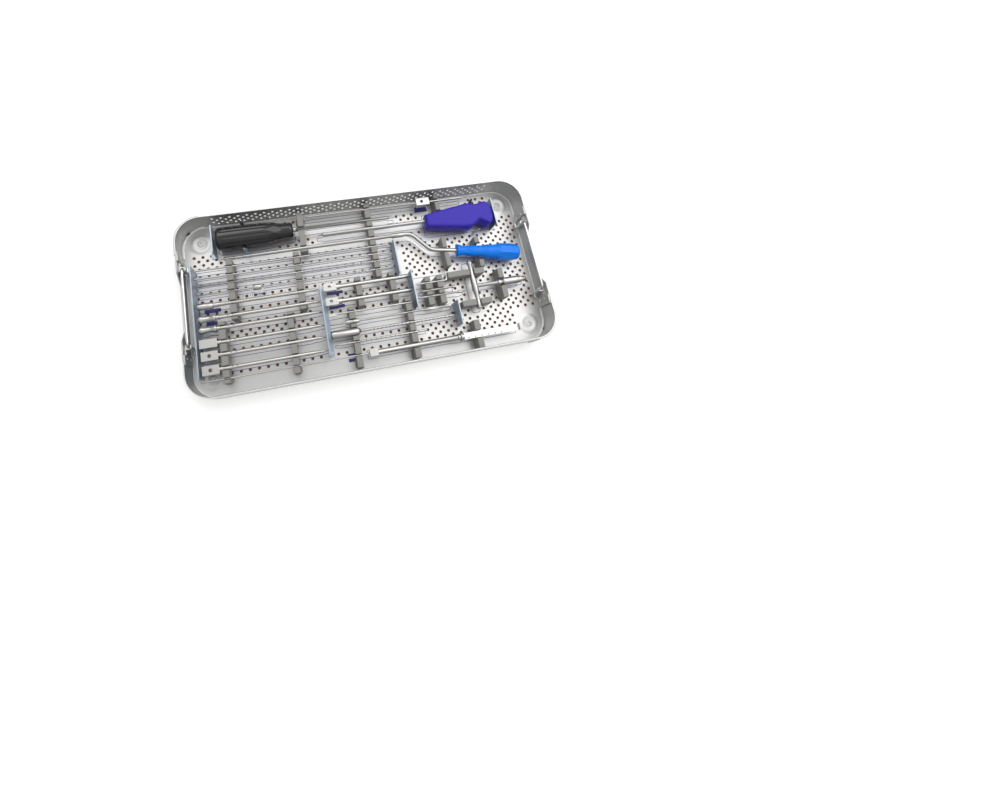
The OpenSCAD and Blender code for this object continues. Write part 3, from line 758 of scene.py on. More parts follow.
class TRAY_OT_floor(bpy.types.Operator):
    """Make the perforated floor, its pressed seats and the bright line where it meets the walls, a rounded
    bead coloured lighter as a painted highlight
    """

    bl_idname = "tray.floor"
    bl_label = "Floor"

    def execute(self, context):
        sizes = context.scene.tray_sheet
        half = sizes.pitch / 2
        lo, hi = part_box("floor_pan")
        outline = rounded_plan(hi.x - lo.x, hi.y - lo.y, CORNER_R - SHEET)
        clear = (34.4 * half, 12.4 * half)
        perforated_sheet("floor_sheet", outline, sizes.floor_columns, sizes.floor_rows, clear,
                         sheet_brushed(), Matrix.Translation((0, 0, FLOOR_Z)), ("floor_pan",),
                         shift=(2.0 * MM, 3.7 * MM), covers=floor_covers())
        # the rounded bead where floor meets wall, in the lighter edge colour: a painted highlight line
        bm = bmesh.new()
        radius = 1.3 * MM
        steps = 5
        section = [(0.0, FLOOR_Z - 0.2 * MM), (0.0, FLOOR_Z + radius)]
        for k in range(1, steps + 1):
            a = math.radians(90 * k / steps)
            section.append((-radius + radius * math.cos(a), FLOOR_Z + radius - radius * math.sin(a)))
        section.append((-radius, FLOOR_Z - 0.2 * MM))
        plan_sweep(bm, rounded_plan(hi.x - lo.x, hi.y - lo.y, CORNER_R - SHEET), section)
        add_solid("floor_corner_bead", bm, bare_edge_highlight(), smooth_deg=50)
        self.seats()
        return {"FINISHED"}

    def seats(self):
        """Round pressed seats over the feet, each a raised ring with a sunk middle."""
        bm = bmesh.new()
        lo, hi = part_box("feet")
        foot_r = 12 * MM
        ring = [(4.6, 0.02), (6.4, 0.06), (8.0, 0.4), (9.8, 0.75), (11.6, 0.6), (13.6, 0.2), (15.6, 0.02)]
        sides = 48
        for x in (lo.x + foot_r, hi.x - foot_r):
            for y in (lo.y + foot_r, hi.y - foot_r):
                rings = []
                closed = ring + [(15.6, -0.3), (4.6, -0.3)]
                for k in range(sides):
                    a = 2 * math.pi * k / sides
                    spots = [(x + r * MM * math.cos(a), y + r * MM * math.sin(a), FLOOR_Z + z * MM)
                             for r, z in closed]
                    rings.append([bm.verts.new(spot) for spot in spots])
                skin(bm, rings, closed=True)
        add_solid("foot_seats", bm, sheet_brushed(), smooth_deg=60)


class TRAY_OT_walls(bpy.types.Operator):
    """Make the long walls with their bands of holes, the end walls and the bare rim"""

    bl_idname = "tray.walls"
    bl_label = "Walls"

    def execute(self, context):
        sizes = context.scene.tray_sheet
        half = sizes.pitch / 2
        straight = TRAY_L / 2 - CORNER_R
        low_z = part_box("wall_back")[0].z
        top_z = RIM_Z - 0.5 * MM
        mid_z = low_z + 0.49 * (top_z - low_z) - half / 2
        bottom_row = rectangle(Vector((-1, -3 * half)), Vector((1, -1.5 * half)), 0.0)
        for side, node in ((1, "wall_back"), (-1, "wall_front")):
            outline = [(-straight, low_z - mid_z), (straight, low_z - mid_z), (straight, top_z - mid_z),
                       (-straight, top_z - mid_z)]
            # the sheet's top face looks into the tray
            face = Matrix.Rotation(math.radians(90), 4, "X")
            turn = Matrix.Identity(4) if side > 0 else Matrix.Rotation(math.pi, 4, "Z")
            inner_y = TRAY_W / 2 - SHEET
            place = turn @ Matrix.Translation((0, inner_y, mid_z)) @ face
            bm = perforated_sheet(node, outline, sizes.wall_columns, sizes.wall_rows, (1.0, 1.0),
                                  sheet_satin(), place, None, covers=[bottom_row])
            for end in (-1, 1):
                corner = arc(end * straight, TRAY_W / 2 - CORNER_R, CORNER_R, 90, 0 if end > 0 else 180, 18)
                plan = [(end * straight, TRAY_W / 2)] + corner[1:] + [(end * TRAY_L / 2, SEAM_Y)]
                part = bmesh.new()
                plan_sweep(part, plan, [(0, low_z), (0, top_z), (SHEET, top_z), (SHEET, low_z)], closed=False)
                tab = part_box("wall_back")[0].y
                tab_x = sorted((end * (TRAY_L / 2 - SHEET), end * (TRAY_L / 2 - 2 * SHEET)))
                box(part, (tab_x[0], tab, FLOOR_Z), (tab_x[1], SEAM_Y + 4 * MM, top_z))
                if side < 0:
                    bmesh.ops.rotate(part, verts=part.verts, matrix=Matrix.Rotation(math.pi, 3, "Z"))
                bmesh.ops.recalc_face_normals(part, faces=part.faces)
                made = bpy.data.meshes.new("corner")
                part.to_mesh(made)
                part.free()
                bm.from_mesh(made)
                bpy.data.meshes.remove(made)
            add_piece(node + "_sheet", bm, sheet_satin(), ROOT, (node,), smooth_deg=25.0)
        for node in ("end_wall_left", "end_wall_right"):
            refine(node, sheet_satin(), bevel=0.35 * MM)
        self.rim(top_z)
        return {"FINISHED"}

    def rim(self, top_z):
        """The bare, slightly rounded cut edge along the top of both long walls, coloured lighter as a painted
        highlight, with a thin dark strip inside it that is painted shade.
        """
        bm = bmesh.new()
        section = [(0.0, top_z), (-0.15 * MM, RIM_Z - 0.15 * MM), (-0.5 * MM, RIM_Z),
                   (-SHEET + 0.5 * MM, RIM_Z), (-SHEET + 0.15 * MM, RIM_Z - 0.15 * MM), (-SHEET, top_z)]
        # a thin dark strip on the inside of the rim: painted shade, not a real fold of the sheet
        inner = [(-SHEET + 0.3 * MM, RIM_Z + 0.04 * MM), (-SHEET - 0.3 * MM, RIM_Z - 0.1 * MM),
                 (-SHEET - 0.3 * MM, RIM_Z - 1.2 * MM), (-SHEET + 0.2 * MM, RIM_Z - 1.2 * MM)]
        line = bmesh.new()
        for side in (-1, 1):
            plan = [(TRAY_L / 2, SEAM_Y)]
            plan += arc(TRAY_L / 2 - CORNER_R, TRAY_W / 2 - CORNER_R, CORNER_R, 0, 90, 18)
            plan += arc(CORNER_R - TRAY_L / 2, TRAY_W / 2 - CORNER_R, CORNER_R, 90, 180, 18)
            plan += [(-TRAY_L / 2, SEAM_Y)]
            plan = [(x * side, y * side) for x, y in plan]
            plan_sweep(bm, plan, section, closed=False)
            plan_sweep(line, plan, inner, closed=False)
        for made, name, finish in ((bm, "rim_edge", bare_edge_highlight()), (line, "rim_inner_hem", painted_shade_steel())):
            add_solid(name, made, finish, smooth_deg=50)


class TRAY_OT_handles(bpy.types.Operator):
    """Make the two wire handles, their straps and all rivets"""

    bl_idname = "tray.handles"
    bl_label = "Handles and rivets"

    def execute(self, context):
        for side in ("left", "right"):
            node = "handle_" + side
            lo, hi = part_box(node)
            wire_r = (hi.x - lo.x) / 2
            toe, bend = 8 * MM, 5.5 * MM
            x, low, top = (lo.x + hi.x) / 2, lo.z + wire_r, hi.z - wire_r
            leg = hi.y - toe
            path = [(x, -hi.y + 0.6 * MM, low), (x, -leg - 1.5 * MM, low),
                    (x, -leg - 0.45 * MM, low + 0.45 * MM), (x, -leg, low + 1.5 * MM)]
            path += [(x, -y, z) for y, z in arc(leg - bend, top - bend, bend, 0, 90, 8)]
            path += [(x, -p[1], p[2]) for p in reversed(path)]
            bm = bmesh.new()
            tube(bm, path, wire_r, sides=20)
            add_solid(node + "_wire", bm, polished_steel(), node_body(node), (node,), 50)
        refine("handle_brackets", polished_steel(), bevel=0.35 * MM)
        for node, finish in (("shell_rivets", polished_steel()), ("foot_rivets", sheet_satin())):
            refine(node, finish, bevel=0.3 * MM, segments=3)
        refine("feet", foot_rubber(), bevel=0.3 * MM)
        return {"FINISHED"}


# ------------------------------------------------------------------ supports


COMBS = ("comb_rear_left", "comb_front_left", "comb_rear_middle", "comb_back_middle", "comb_front_middle",
         "comb_long_back", "combs_short", "comb_front_centre", "comb_front_right", "key_combs", "bar_saddles",
         "rest_posts")
PLATES = ("stop_plate_left", "stop_plate_middle", "stop_plates_short", "handle_stop_plates")


class TRAY_OT_supports(bpy.types.Operator):
    """Make the coated combs, saddles and posts"""

    bl_idname = "tray.supports"
    bl_label = "Combs and posts"

    def execute(self, context):
        for node in COMBS:
            refine(node, nylon_coat(), bevel=0.45 * MM)
        return {"FINISHED"}


class TRAY_OT_plates(bpy.types.Operator):
    """Make the blue-grey stop plates with their folded tops and the curved spring strips"""

    bl_idname = "tray.plates"
    bl_label = "Stop plates"

    def execute(self, context):
        for node in PLATES:
            refine(node, plate_coat(), bevel=0.3 * MM)
        bm = bmesh.new()
        lo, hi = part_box("handle_clips")
        clip_w = 9 * MM
        thick, width = 0.9 * MM, 5.5 * MM
        for x in (lo.x + clip_w / 2, hi.x - clip_w / 2):
            bodies = [v.co for v in frame["nodes"]["handle_clips"].data.vertices if abs(v.co.x - x) < clip_w]
            for side in (-1, 1):
                ys = [c.y for c in bodies if c.z > hi.z - MM]
                y = max(ys) if side > 0 else min(ys)
                y -= side * thick / 2
                self.strip(bm, x, y, side, width, thick, hi.z)
        add_solid("spring_strips", bm, plate_coat(), ROOT, ("handle_clips",), 50)
        return {"FINISHED"}

    def strip(self, bm, x, y, side, width, thick, top):
        """One upright spring strip that leans outwards and narrows to a rounded tip."""
        height = top - FLOOR_Z
        rings = []
        steps = 14
        for k in range(steps + 1):
            t = k / steps
            lean = (0.25 + 3.2 * t * t) * MM
            w = width * 0.5 * (1 - 0.25 * t) * math.sqrt(max(0.05, 1 - max(0.0, (t - 0.7) / 0.31) ** 2))
            z = FLOOR_Z + t * height
            yy = y + side * lean
            rings.append([bm.verts.new((x + sx * w, yy + sy * thick / 2, z))
                          for sx, sy in ((-1, -1), (1, -1), (1, 1), (-1, 1))])
        skin(bm, rings)
        foot = sorted((y, y + side * 4.6 * MM))
        box(bm, (x - width / 2, foot[0], FLOOR_Z), (x + width / 2, foot[1], FLOOR_Z + thick))


# ------------------------------------------------------------------ printed outlines

LONG_TOOLS = ("black_grip", "black_shaft", "violet_shaft", "hook_rod", "guide_pin_rear", "guide_pin_front",
              "drill_bit", "step_drill", "cutter_1", "cutter_2", "hook_blade", "tap", "reamer", "marked_rod",
              "gauge_body", "chuck_stem", "chuck_sleeve", "key_plain", "key_hooked", "driver_1", "driver_2",
              "driver_3", "driver_4", "driver_5", "driver_6")
BACK_TOOLS = ("black_shaft", "violet_shaft", "hook_rod")
# solid patches printed below the connectors: from x, to x, from y, to y
SOLID_PRINTS = ((-218, -197, -5.8, -0.8), (-217, -203, -22.6, -17), (-58, -36, -6.2, -2),
                (-57.5, -36, -26, -21.5), (88, 106, 96.8, 105), (-43, -31, -100.6, -96),
                (-43, -31, -92, -89.5))


def floor_covers():
    """Outlines of the floor's plain parts: below every instrument and beside the stop plates."""
    hole_r = bpy.context.scene.tray_sheet.hole / 2
    covers = [tool_outline(node, hole_r + (3.0 if node in BACK_TOOLS else 0.4) * MM) for node in LONG_TOOLS]
    for node, reach in (("violet_grip", 1.0), ("t_bar", 2.0), ("key_angled", 1.5), ("gauge_probe", 1.5)):
        lo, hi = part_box(node)
        covers.append(rectangle(lo, hi, hole_r + reach * MM))
    for points, width in ((curved_plan()[:-1], 4.5), (curved_plan()[-2:], 9.5)):
        covers += [thick_line(a, b, width * MM) for a, b in zip(points, points[1:])]
    y0 = BLUE_Y * MM
    covers.append([(-188 * MM, y0 - 4.5 * MM), (62 * MM, y0 - 4.5 * MM), (62 * MM, y0 + 4.5 * MM),
                   (-188 * MM, y0 + 4.5 * MM)])
    plain = ((42, 58, 4, 52), (57, 70, -46, 5), (-76, -58, -92, 6), (-240, 240, -116, -91),
             (-240, -226, -116, 116), (-200, -75, -79, -66.5), (-60, 108, -62.5, -53.5))
    for x0, x1, ya, yb in plain:
        covers.append(rectangle(Vector((x0, ya, 0)) * MM, Vector((x1, yb, 0)) * MM, 0.0))
    return covers


def rectangle(lo, hi, grow):
    return [(lo.x - grow, lo.y - grow), (hi.x + grow, lo.y - grow), (hi.x + grow, hi.y + grow),
            (lo.x - grow, hi.y + grow)]


def thick_line(a, b, half):
    a, b = Vector(a), Vector(b)
    side = Vector((a.y - b.y, b.x - a.x)).normalized() * half
    return [tuple(p) for p in (a - side, b - side, b + side, a + side)]


def tool_outline(node, gap):
    """A turned instrument's outline seen from above, drawn a gap outside it, anticlockwise."""
    mid = centre(node).y
    half = half_widths(node)
    right = [(x, mid - w - gap) for x, w in half]
    left = [(x, mid + w + gap) for x, w in reversed(half)]
    first, last = half[0][0] - gap, half[-1][0] + gap
    plan = [(first, right[0][1])] + right + [(last, right[-1][1]), (last, left[0][1])] + left
    plan.append((first, left[-1][1]))
    clean = [plan[0]]
    for p in plan[1:]:
        if (Vector(p) - Vector(clean[-1])).length > 0.3 * MM:
            clean.append(p)
    return clean


def half_widths(node, step=1.0 * MM):
    """A node's half width across, at each place along it where it changes, as [(x, half width)]."""
    mesh = frame["nodes"][node].data
    mid = centre(node).y
    spans = {}
    for edge in mesh.edges:
        a, b = sorted((mesh.vertices[i].co for i in edge.vertices), key=lambda place: place.x)
        first, last = round(a.x / step), round(b.x / step)
        for k in range(first, last + 1):
            share = (k - first) / (last - first) if last > first else 0.0
            spans[k] = max(spans.get(k, 0.0), abs(a.y + (b.y - a.y) * share - mid))
    widths = [(k * step, w) for k, w in sorted(spans.items())]
    kept = [widths[0]]
    for before, here, after in zip(widths, widths[1:], widths[2:]):
        if abs(here[1] - before[1]) > 0.05 * MM or abs(after[1] - here[1]) > 0.05 * MM:
            kept.append(here)
    return kept + [widths[-1]]


def ribbon(bm, points, width, z0, z1, closed=True):
    """A thin raised line along plan points."""
    section = [(-width / 2, z0), (width / 2, z0), (width / 2, z1), (-width / 2, z1)]
    plan_sweep(bm, points, section, closed=closed)


class TRAY_OT_print(bpy.types.Operator):
    """Print the instruments' outlines on the floor"""

    bl_idname = "tray.print"
    bl_label = "Printed outlines"

    def execute(self, context):
        bm = bmesh.new()
        low, high = FLOOR_Z - 0.02 * MM, FLOOR_Z + 0.05 * MM
        line = 0.65 * MM
        for node in LONG_TOOLS:
            ribbon(bm, tool_outline(node, 1.0 * MM), line, low, high)
        for node in ("t_bar", "key_angled"):
            lo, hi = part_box(node)
            ribbon(bm, rounded_plan_at(lo, hi, 1.5 * MM), line, low, high)
        for side in (-1, 1):
            plan = [(x, y + side * 4.0 * MM) for x, y in [(-188 * MM, BLUE_Y * MM)] + curved_plan()]
            ribbon(bm, plan, line, low, high, closed=False)
        lo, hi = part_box("violet_grip")
        ribbon(bm, rounded_plan_at(lo, hi, -1.0 * MM), line, low, high)
        for x0, x1, ya, yb in SOLID_PRINTS:
            box(bm, (x0 * MM, ya * MM, low), (x1 * MM, yb * MM, high))
        y = centre("step_drill").y
        for i in range(13):
            x = (-168 + 3.1 * i) * MM
            for side in (-1, 1):
                edge = y + side * 3.6 * MM
                ends = sorted((edge, edge + side * 2 * MM))
                box(bm, (x, ends[0], low), (x + 0.8 * MM, ends[1], high))
        add_solid("printed_outlines", bm, ink())
        return {"FINISHED"}


def rounded_plan_at(lo, hi, gap):
    """A rounded outline round a box, seen from above."""
    mid = (lo + hi) / 2
    size = hi - lo
    return [(mid.x + x, mid.y + y) for x, y in rounded_plan(size.x + 2 * gap, size.y + 2 * gap, 3 * MM, 5)]


# ------------------------------------------------------------------ driver grips

BLUE_Y = 59.5
BLUE_LEAN = 10.0


def curved_plan():
    """The curved shaft's centre line seen from above: an S-bend, then a straight end in the grip."""
    start_x, bend_r, down, slant = 62.0, 18.0, 50.0, 21.4
    plan = arc(start_x, BLUE_Y - bend_r, bend_r, 90, 90 - down, 12)
    heading = Vector((math.cos(math.radians(down)), -math.sin(math.radians(down))))
    foot = Vector(plan[-1]) + heading * slant
    hub = foot + Vector((math.sin(math.radians(down)), math.cos(math.radians(down)))) * bend_r
    plan += arc(hub.x, hub.y, bend_r, 270 - down, 270 - BLUE_LEAN, 10)
    out = Vector((math.cos(math.radians(BLUE_LEAN)), -math.sin(math.radians(BLUE_LEAN))))
    plan.append(tuple(Vector(plan[-1]) + out * 121))
    return [(x * MM, y * MM) for x, y in plan]


class TRAY_OT_black_driver(bpy.types.Operator):
    """Make the fluted black grip and its shaft"""

    bl_idname = "tray.black_driver"
    bl_label = "Black driver"

    def execute(self, context):
        lo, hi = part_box("black_grip")
        mid = centre("black_grip")
        length, r = (hi.x - lo.x) / MM, (hi.z - lo.z) / 2 / MM
        nose = r - 4.6
        profile = [(0, r - 4.0), (0.3, r - 2.6), (1.0, r - 1.4), (2.4, r - 0.3), (4.5, r), (32, r),
                   (62, r - 0.7),
                   (75, r - 1.8), (84.5, nose), (96.8, nose - 0.2), (98.6, nose - 0.9), (length, nose - 2.4)]
        flutes, depth = 10, 0.7

        def shape(x, radius, angle):
            fade = max(0.0, min(1.0, (x - 5) / 5)) * max(0.0, min(1.0, (78 - x) / 16))
            groove = max(0.0, math.cos(flutes * angle)) ** 3
            facet = (angle + math.pi / 8) % (math.pi / 4) - math.pi / 8
            cone = (nose + 0.15 + max(0.0, 84.5 - x) * 0.19) / math.cos(facet)
            return min(radius - depth * fade * groove, cone) if x < 84.5 else radius

        bm = bmesh.new()
        lathe(bm, (lo.x, mid.y, mid.z), dense(profile, 1.4), sides=120, shape=shape)
        colour = context.scene.tray_grips.black
        add_solid("black_grip_fluted", bm, grip_plastic("Black plastic", colour, (0.2, 0.32), 0.3),
                  "black_driver", ("black_grip",), 40)
        refine("black_shaft", instrument_steel())
        return {"FINISHED"}


def smooth_loop(points, per_span):
    """A closed Catmull-Rom curve through plan points."""
    made = []
    n = len(points)
    for i in range(n):
        p0, p1, p2, p3 = (Vector(points[(i + k) % n]) for k in (-1, 0, 1, 2))
        for k in range(per_span):
            t = k / per_span
            made.append(0.5 * ((2 * p1) + (p2 - p0) * t + (2 * p0 - 5 * p1 + 4 * p2 - p3) * t * t
                               + (3 * p1 - p0 - 3 * p2 + p3) * t ** 3))
    return made


class TRAY_OT_violet_driver(bpy.types.Operator):
    """Make the pistol-shaped violet grip and its shaft"""

    bl_idname = "tray.violet_driver"
    bl_label = "Violet driver"

    def execute(self, context):
        lo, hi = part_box("violet_grip")
        # outline anticlockwise from the narrow front end: share of the length, share of the width
        shape = [(0.0, 0.27), (0.10, 0.20), (0.30, 0.115), (0.50, 0.03), (0.60, 0.005), (0.67, 0.03),
                 (0.725, 0.14),
                 (0.785, 0.22), (0.85, 0.13), (0.91, 0.025), (0.955, 0.05), (0.99, 0.2), (1.0, 0.42),
                 (0.992, 0.72),
                 (0.955, 0.92), (0.88, 0.975), (0.77, 0.905), (0.65, 0.985), (0.55, 0.955), (0.3, 0.86),
                 (0.08, 0.775),
                 (0.01, 0.74), (0.0, 0.7)]
        plan = [(lo.x + a * (hi.x - lo.x), lo.y + b * (hi.y - lo.y)) for a, b in shape]
        loop = smooth_loop(plan, 6)
        mid_z = (lo.z + hi.z) / 2
        half_t = (hi.z - lo.z) / 2
        round_r = 4.5 * MM
        steps = 6
        layers = []
        for k in range(steps + 1):
            angle = math.radians(90 * k / steps)
            layers.append((round_r * (1 - math.sin(angle)), half_t - round_r + round_r * math.cos(angle)))
        layers = [(i, -z) for i, z in layers] + [(i, z) for i, z in reversed(layers)]
        rings = []
        bm = bmesh.new()
        for inset, z in layers:
            ring = []
            for p in loop:
                core_x = max(lo.x + 10 * MM, min(hi.x - 15 * MM, p.x))
                core = Vector((core_x, lo.y + 0.5 * (hi.y - lo.y)))
                inward = (core - p).normalized()
                q = p + inward * inset
                slope = 1 - 0.1 * (1 - (q.x - lo.x) / (hi.x - lo.x))
                ring.append(bm.verts.new((q.x, q.y, mid_z + z * slope)))
            rings.append(ring)
        skin(bm, rings)
        colour = context.scene.tray_grips.violet
        add_solid("violet_grip_moulded", bm, grip_plastic("Violet plastic", colour, (0.4, 0.52), 0.0, 0.25),
                  "violet_driver", ("violet_grip",), 50)
        refine("violet_shaft", instrument_steel())
        return {"FINISHED"}


class TRAY_OT_curved_tool(bpy.types.Operator):
    """Make the blue grip, its cap and the shaft with the S-bend"""

    bl_idname = "tray.curved_tool"
    bl_label = "Curved tool"

    def execute(self, context):
        plan = curved_plan()
        bm = bmesh.new()
        end = Vector(plan[-2]).lerp(Vector(plan[-1]), 0.4)
        tube(bm, [(x, y, AXIS_Z) for x, y in plan[:-1] + [tuple(end)]], 2.9 * MM, sides=24)
        shaft = [(-188, 0.6), (-187, 0.9), (-150, 1.3), (-110, 2.4), (42, 2.4), (43.5, 3.5), (59.5, 3.5),
                 (60.5, 2.9),
                 (62.2, 2.9)]
        lathe(bm, (0, BLUE_Y * MM, AXIS_Z), shaft, sides=24)
        add_solid("curved_shaft", bm, instrument_steel(), "curved_tool", ("blue_shaft",),
                  50)
        before, end = Vector(plan[-2]), Vector(plan[-1])
        self.grip(context, before + (end - before).normalized() * 30 * MM)
        refine("blue_cap", polished_steel(), bevel=0.3 * MM)
        return {"FINISHED"}

    def grip(self, context, start):
        """Waisted grip with a flared collar and eight soft facets on its thick end."""
        profile = [(0.0, 6.8), (0.4, 7.9), (1.4, 8.5), (2.6, 8.5), (5.0, 7.8), (8.5, 7.0), (13.0, 6.9),
                   (18.0, 7.4),
                   (22.0, 8.2), (24.6, 8.7), (26.0, 8.3), (30.0, 7.8), (36.0, 7.9), (41.0, 8.9), (45.0, 10.0),
                   (46.6, 9.7), (51.0, 9.6), (56.0, 10.2), (60.0, 11.2), (63.0, 12.2), (67.0, 12.3),
                   (78.0, 12.2),
                   (84.0, 11.4), (88.0, 10.3), (90.2, 9.4), (91.0, 8.0)]

        def shape(x, radius, angle):
            facet = (angle + math.pi / 8) % (math.pi / 4) - math.pi / 8
            flat = 11.3 / math.cos(facet)
            tail = (11.3 - max(0.0, x - 78) * 0.12) / math.cos(facet)
            waist = radius + 0.25 * math.cos(8 * angle) * max(0.0, 1 - abs(x - 16) / 8)
            return min(waist, flat, tail) if x > 57 else waist

        bm = bmesh.new()
        lathe(bm, (start.x, start.y, AXIS_Z), dense(profile, 1.2), turn=-BLUE_LEAN, sides=96, shape=shape)
        colour = context.scene.tray_grips.blue
        add_solid("blue_grip_moulded", bm, grip_plastic("Blue plastic", colour, (0.34, 0.46), 0.05, 0.35),
                  "curved_tool", ("blue_grip",), 40)


# ------------------------------------------------------------------ other instruments


def twisted(bm, y, x0, x1, radius, core, lobes, turns, hand=1, sides=24, step=0.8):
    """A fluted stretch of bar along X, from x0 to x1 in millimetres."""
    def shape(x, r, angle):
        phase = hand * 2 * math.pi * turns * (x - x0) / (x1 - x0)
        land = 0.5 + 0.5 * math.cos(lobes * angle - phase * lobes)
        return r * (core + (1 - core) * land ** 0.6)

    lathe(bm, (0, y, AXIS_Z), dense([(x0, radius * 0.96), (x1, radius)], step), sides=sides, shape=shape)


class TRAY_OT_cutting_tools(bpy.types.Operator):
    """Make the drills, reamer, tap and threaded driver with their real flutes"""

    bl_idname = "tray.cutting_tools"
    bl_label = "Cutting tools"

    def execute(self, context):
        steel = instrument_steel()
        y = centre("drill_bit").y
        bm = bmesh.new()
        lathe(bm, (0, y, AXIS_Z), [(-223, 1.2), (-222.6, 1.5), (-17, 1.5)], sides=20)
        twisted(bm, y, -17.2, 36, 1.5, 0.55, 2, 6)
        lathe(bm, (0, y, AXIS_Z), [(35.8, 1.4), (39, 0.1)], sides=20)
        self.done(bm, "fluted_drill", steel, "drill_bit")
        y = centre("step_drill").y
        bm = bmesh.new()
        lathe(bm, (0, y, AXIS_Z), [(-222, 0.7), (-221.6, 0.9), (-151, 0.9), (-150.9, 3.6), (-150.4, 4),
                                   (-141.5, 4),
                                   (-141, 3.6), (-140.9, 0.9), (-20, 0.9), (-17, 1.4)], sides=24)
        twisted(bm, y, -17.2, 37, 1.5, 0.55, 2, 6)
        lathe(bm, (0, y, AXIS_Z), [(36.8, 1.4), (40.5, 0.1)], sides=20)
        self.done(bm, "stepped_drill", steel, "step_drill")
        y = centre("reamer").y
        bm = bmesh.new()
        lathe(bm, (0, y, AXIS_Z), [(-61.5, 4.2), (-60.2, 5.3), (-59, 5.5), (-26, 5.5), (-25, 5.0),
                                   (-23.5, 4), (-22, 2.0),
                                   (-14, 2.0)], sides=40)
        twisted(bm, y, -14.2, 100, 2.0, 0.8, 3, 7)
        lathe(bm, (0, y, AXIS_Z), [(99.8, 1.9), (106, 1.1), (110.5, 0.5)], sides=20)
        self.done(bm, "fluted_reamer", steel, "reamer")
        y = centre("tap").y
        bm = bmesh.new()
        lathe(bm, (0, y, AXIS_Z), [(-61.5, 0.7), (-61, 1.0), (-40, 1.0), (-39.9, 2.7), (-39.4, 3),
                                   (-31.5, 3), (-31.3, 2.6),
                                   (-30.6, 2.6), (-30.4, 3), (-23, 3), (-22.5, 2.7), (-22.4, 1.5),
                                   (64, 1.5), (66, 2.3)],
              sides=28)
        twisted(bm, y, 65.8, 104, 2.4, 0.72, 4, 0.35)
        lathe(bm, (0, y, AXIS_Z), [(103.8, 2.0), (108.5, 0.9)], sides=20)
        self.done(bm, "fluted_tap", steel, "tap")
        y = centre("driver_1").y
        bm = bmesh.new()
        lathe(bm, (0, y, AXIS_Z), [(-223, 3.2), (-222.2, 4.1), (-221, 4.4), (-203.6, 4.4), (-202, 3.2),
                                   (-201.8, 3.0),
                                   (-196, 3.0), (-195.8, 2.5), (-188, 2.5)], sides=32)
        twisted(bm, y, -188.2, -120, 2.5, 0.84, 2, 9)
        lathe(bm, (0, y, AXIS_Z), [(-120.2, 2.5), (-86, 2.5), (-84, 1.9), (-76, 1.9), (-68.4, 0.9)], sides=28)
        self.done(bm, "threaded_driver", steel, "driver_1")
        return {"FINISHED"}

    def done(self, bm, name, steel, node):
        add_solid(name, bm, steel, node_body(node), (node,), 40)


class TRAY_OT_plain_tools(bpy.types.Operator):
    """Finish the plain turned instruments and the small keys"""

    bl_idname = "tray.plain_tools"
    bl_label = "Plain instruments"

    def execute(self, context):
        steel = instrument_steel()
        for node in ("guide_pin_rear", "guide_pin_front", "t_bar"):
            refine(node, steel)
        refine("chuck_sleeve", steel, smooth_deg=9.0)
        for node in ("hook_rod", "cutter_1", "cutter_2", "hook_blade", "chuck_stem", "marked_rod",
                     "key_plain", "key_hooked", "gauge_probe"):
            refine(node, steel, bevel=0.25 * MM)
        for node in ("driver_2", "driver_3", "driver_4", "driver_5", "driver_6"):
            refine(node, steel, bevel=0.2 * MM)
            self.collar(node, steel)
        lo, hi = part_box("key_angled")
        r = (hi.z - lo.z) / 2
        y = lo.y + r
        elbow = 3.0 * MM
        path = [(lo.x, y, AXIS_Z), (hi.x - r - elbow - MM, y, AXIS_Z)]
        path += [(px, py, AXIS_Z) for px, py in arc(hi.x - r - elbow, y + elbow, elbow, -90, 0, 8)]
        path.append((hi.x - r, hi.y, AXIS_Z))
        bm = bmesh.new()
        tube(bm, path, r, sides=16)
        add_solid("angled_key_wire", bm, steel, "angled_key", ("key_angled",), 50)
        return {"FINISHED"}

    def collar(self, node, steel):
        """The stepped collar and the two cross pins behind a driver's coupling."""
        y = centre(node).y
        bm = bmesh.new()
        lathe(bm, (0, y, AXIS_Z), [(-201.7, 3.4), (-200.4, 3.4), (-200.2, 2.9), (-197.4, 2.9), (-197.2, 3.2),
                                   (-196.4, 3.2), (-196.2, 2.6)], sides=28)
        add_solid(node + "_collar", bm, steel, node_body(node), smooth_deg=40)
        bm = bmesh.new()
        for x in (-186, -180):
            place = Matrix.Translation((x * MM, y, AXIS_Z)) @ Matrix.Rotation(math.radians(-15), 4, "X")
            made = bmesh.ops.create_cone(bm, cap_ends=True, segments=16, radius1=0.7 * MM, radius2=0.7 * MM,
                                         depth=5.2 * MM)["verts"]
            bmesh.ops.transform(bm, matrix=place, verts=made)
        add_piece(node + "_pins", bm, scale_black(), node_body(node))


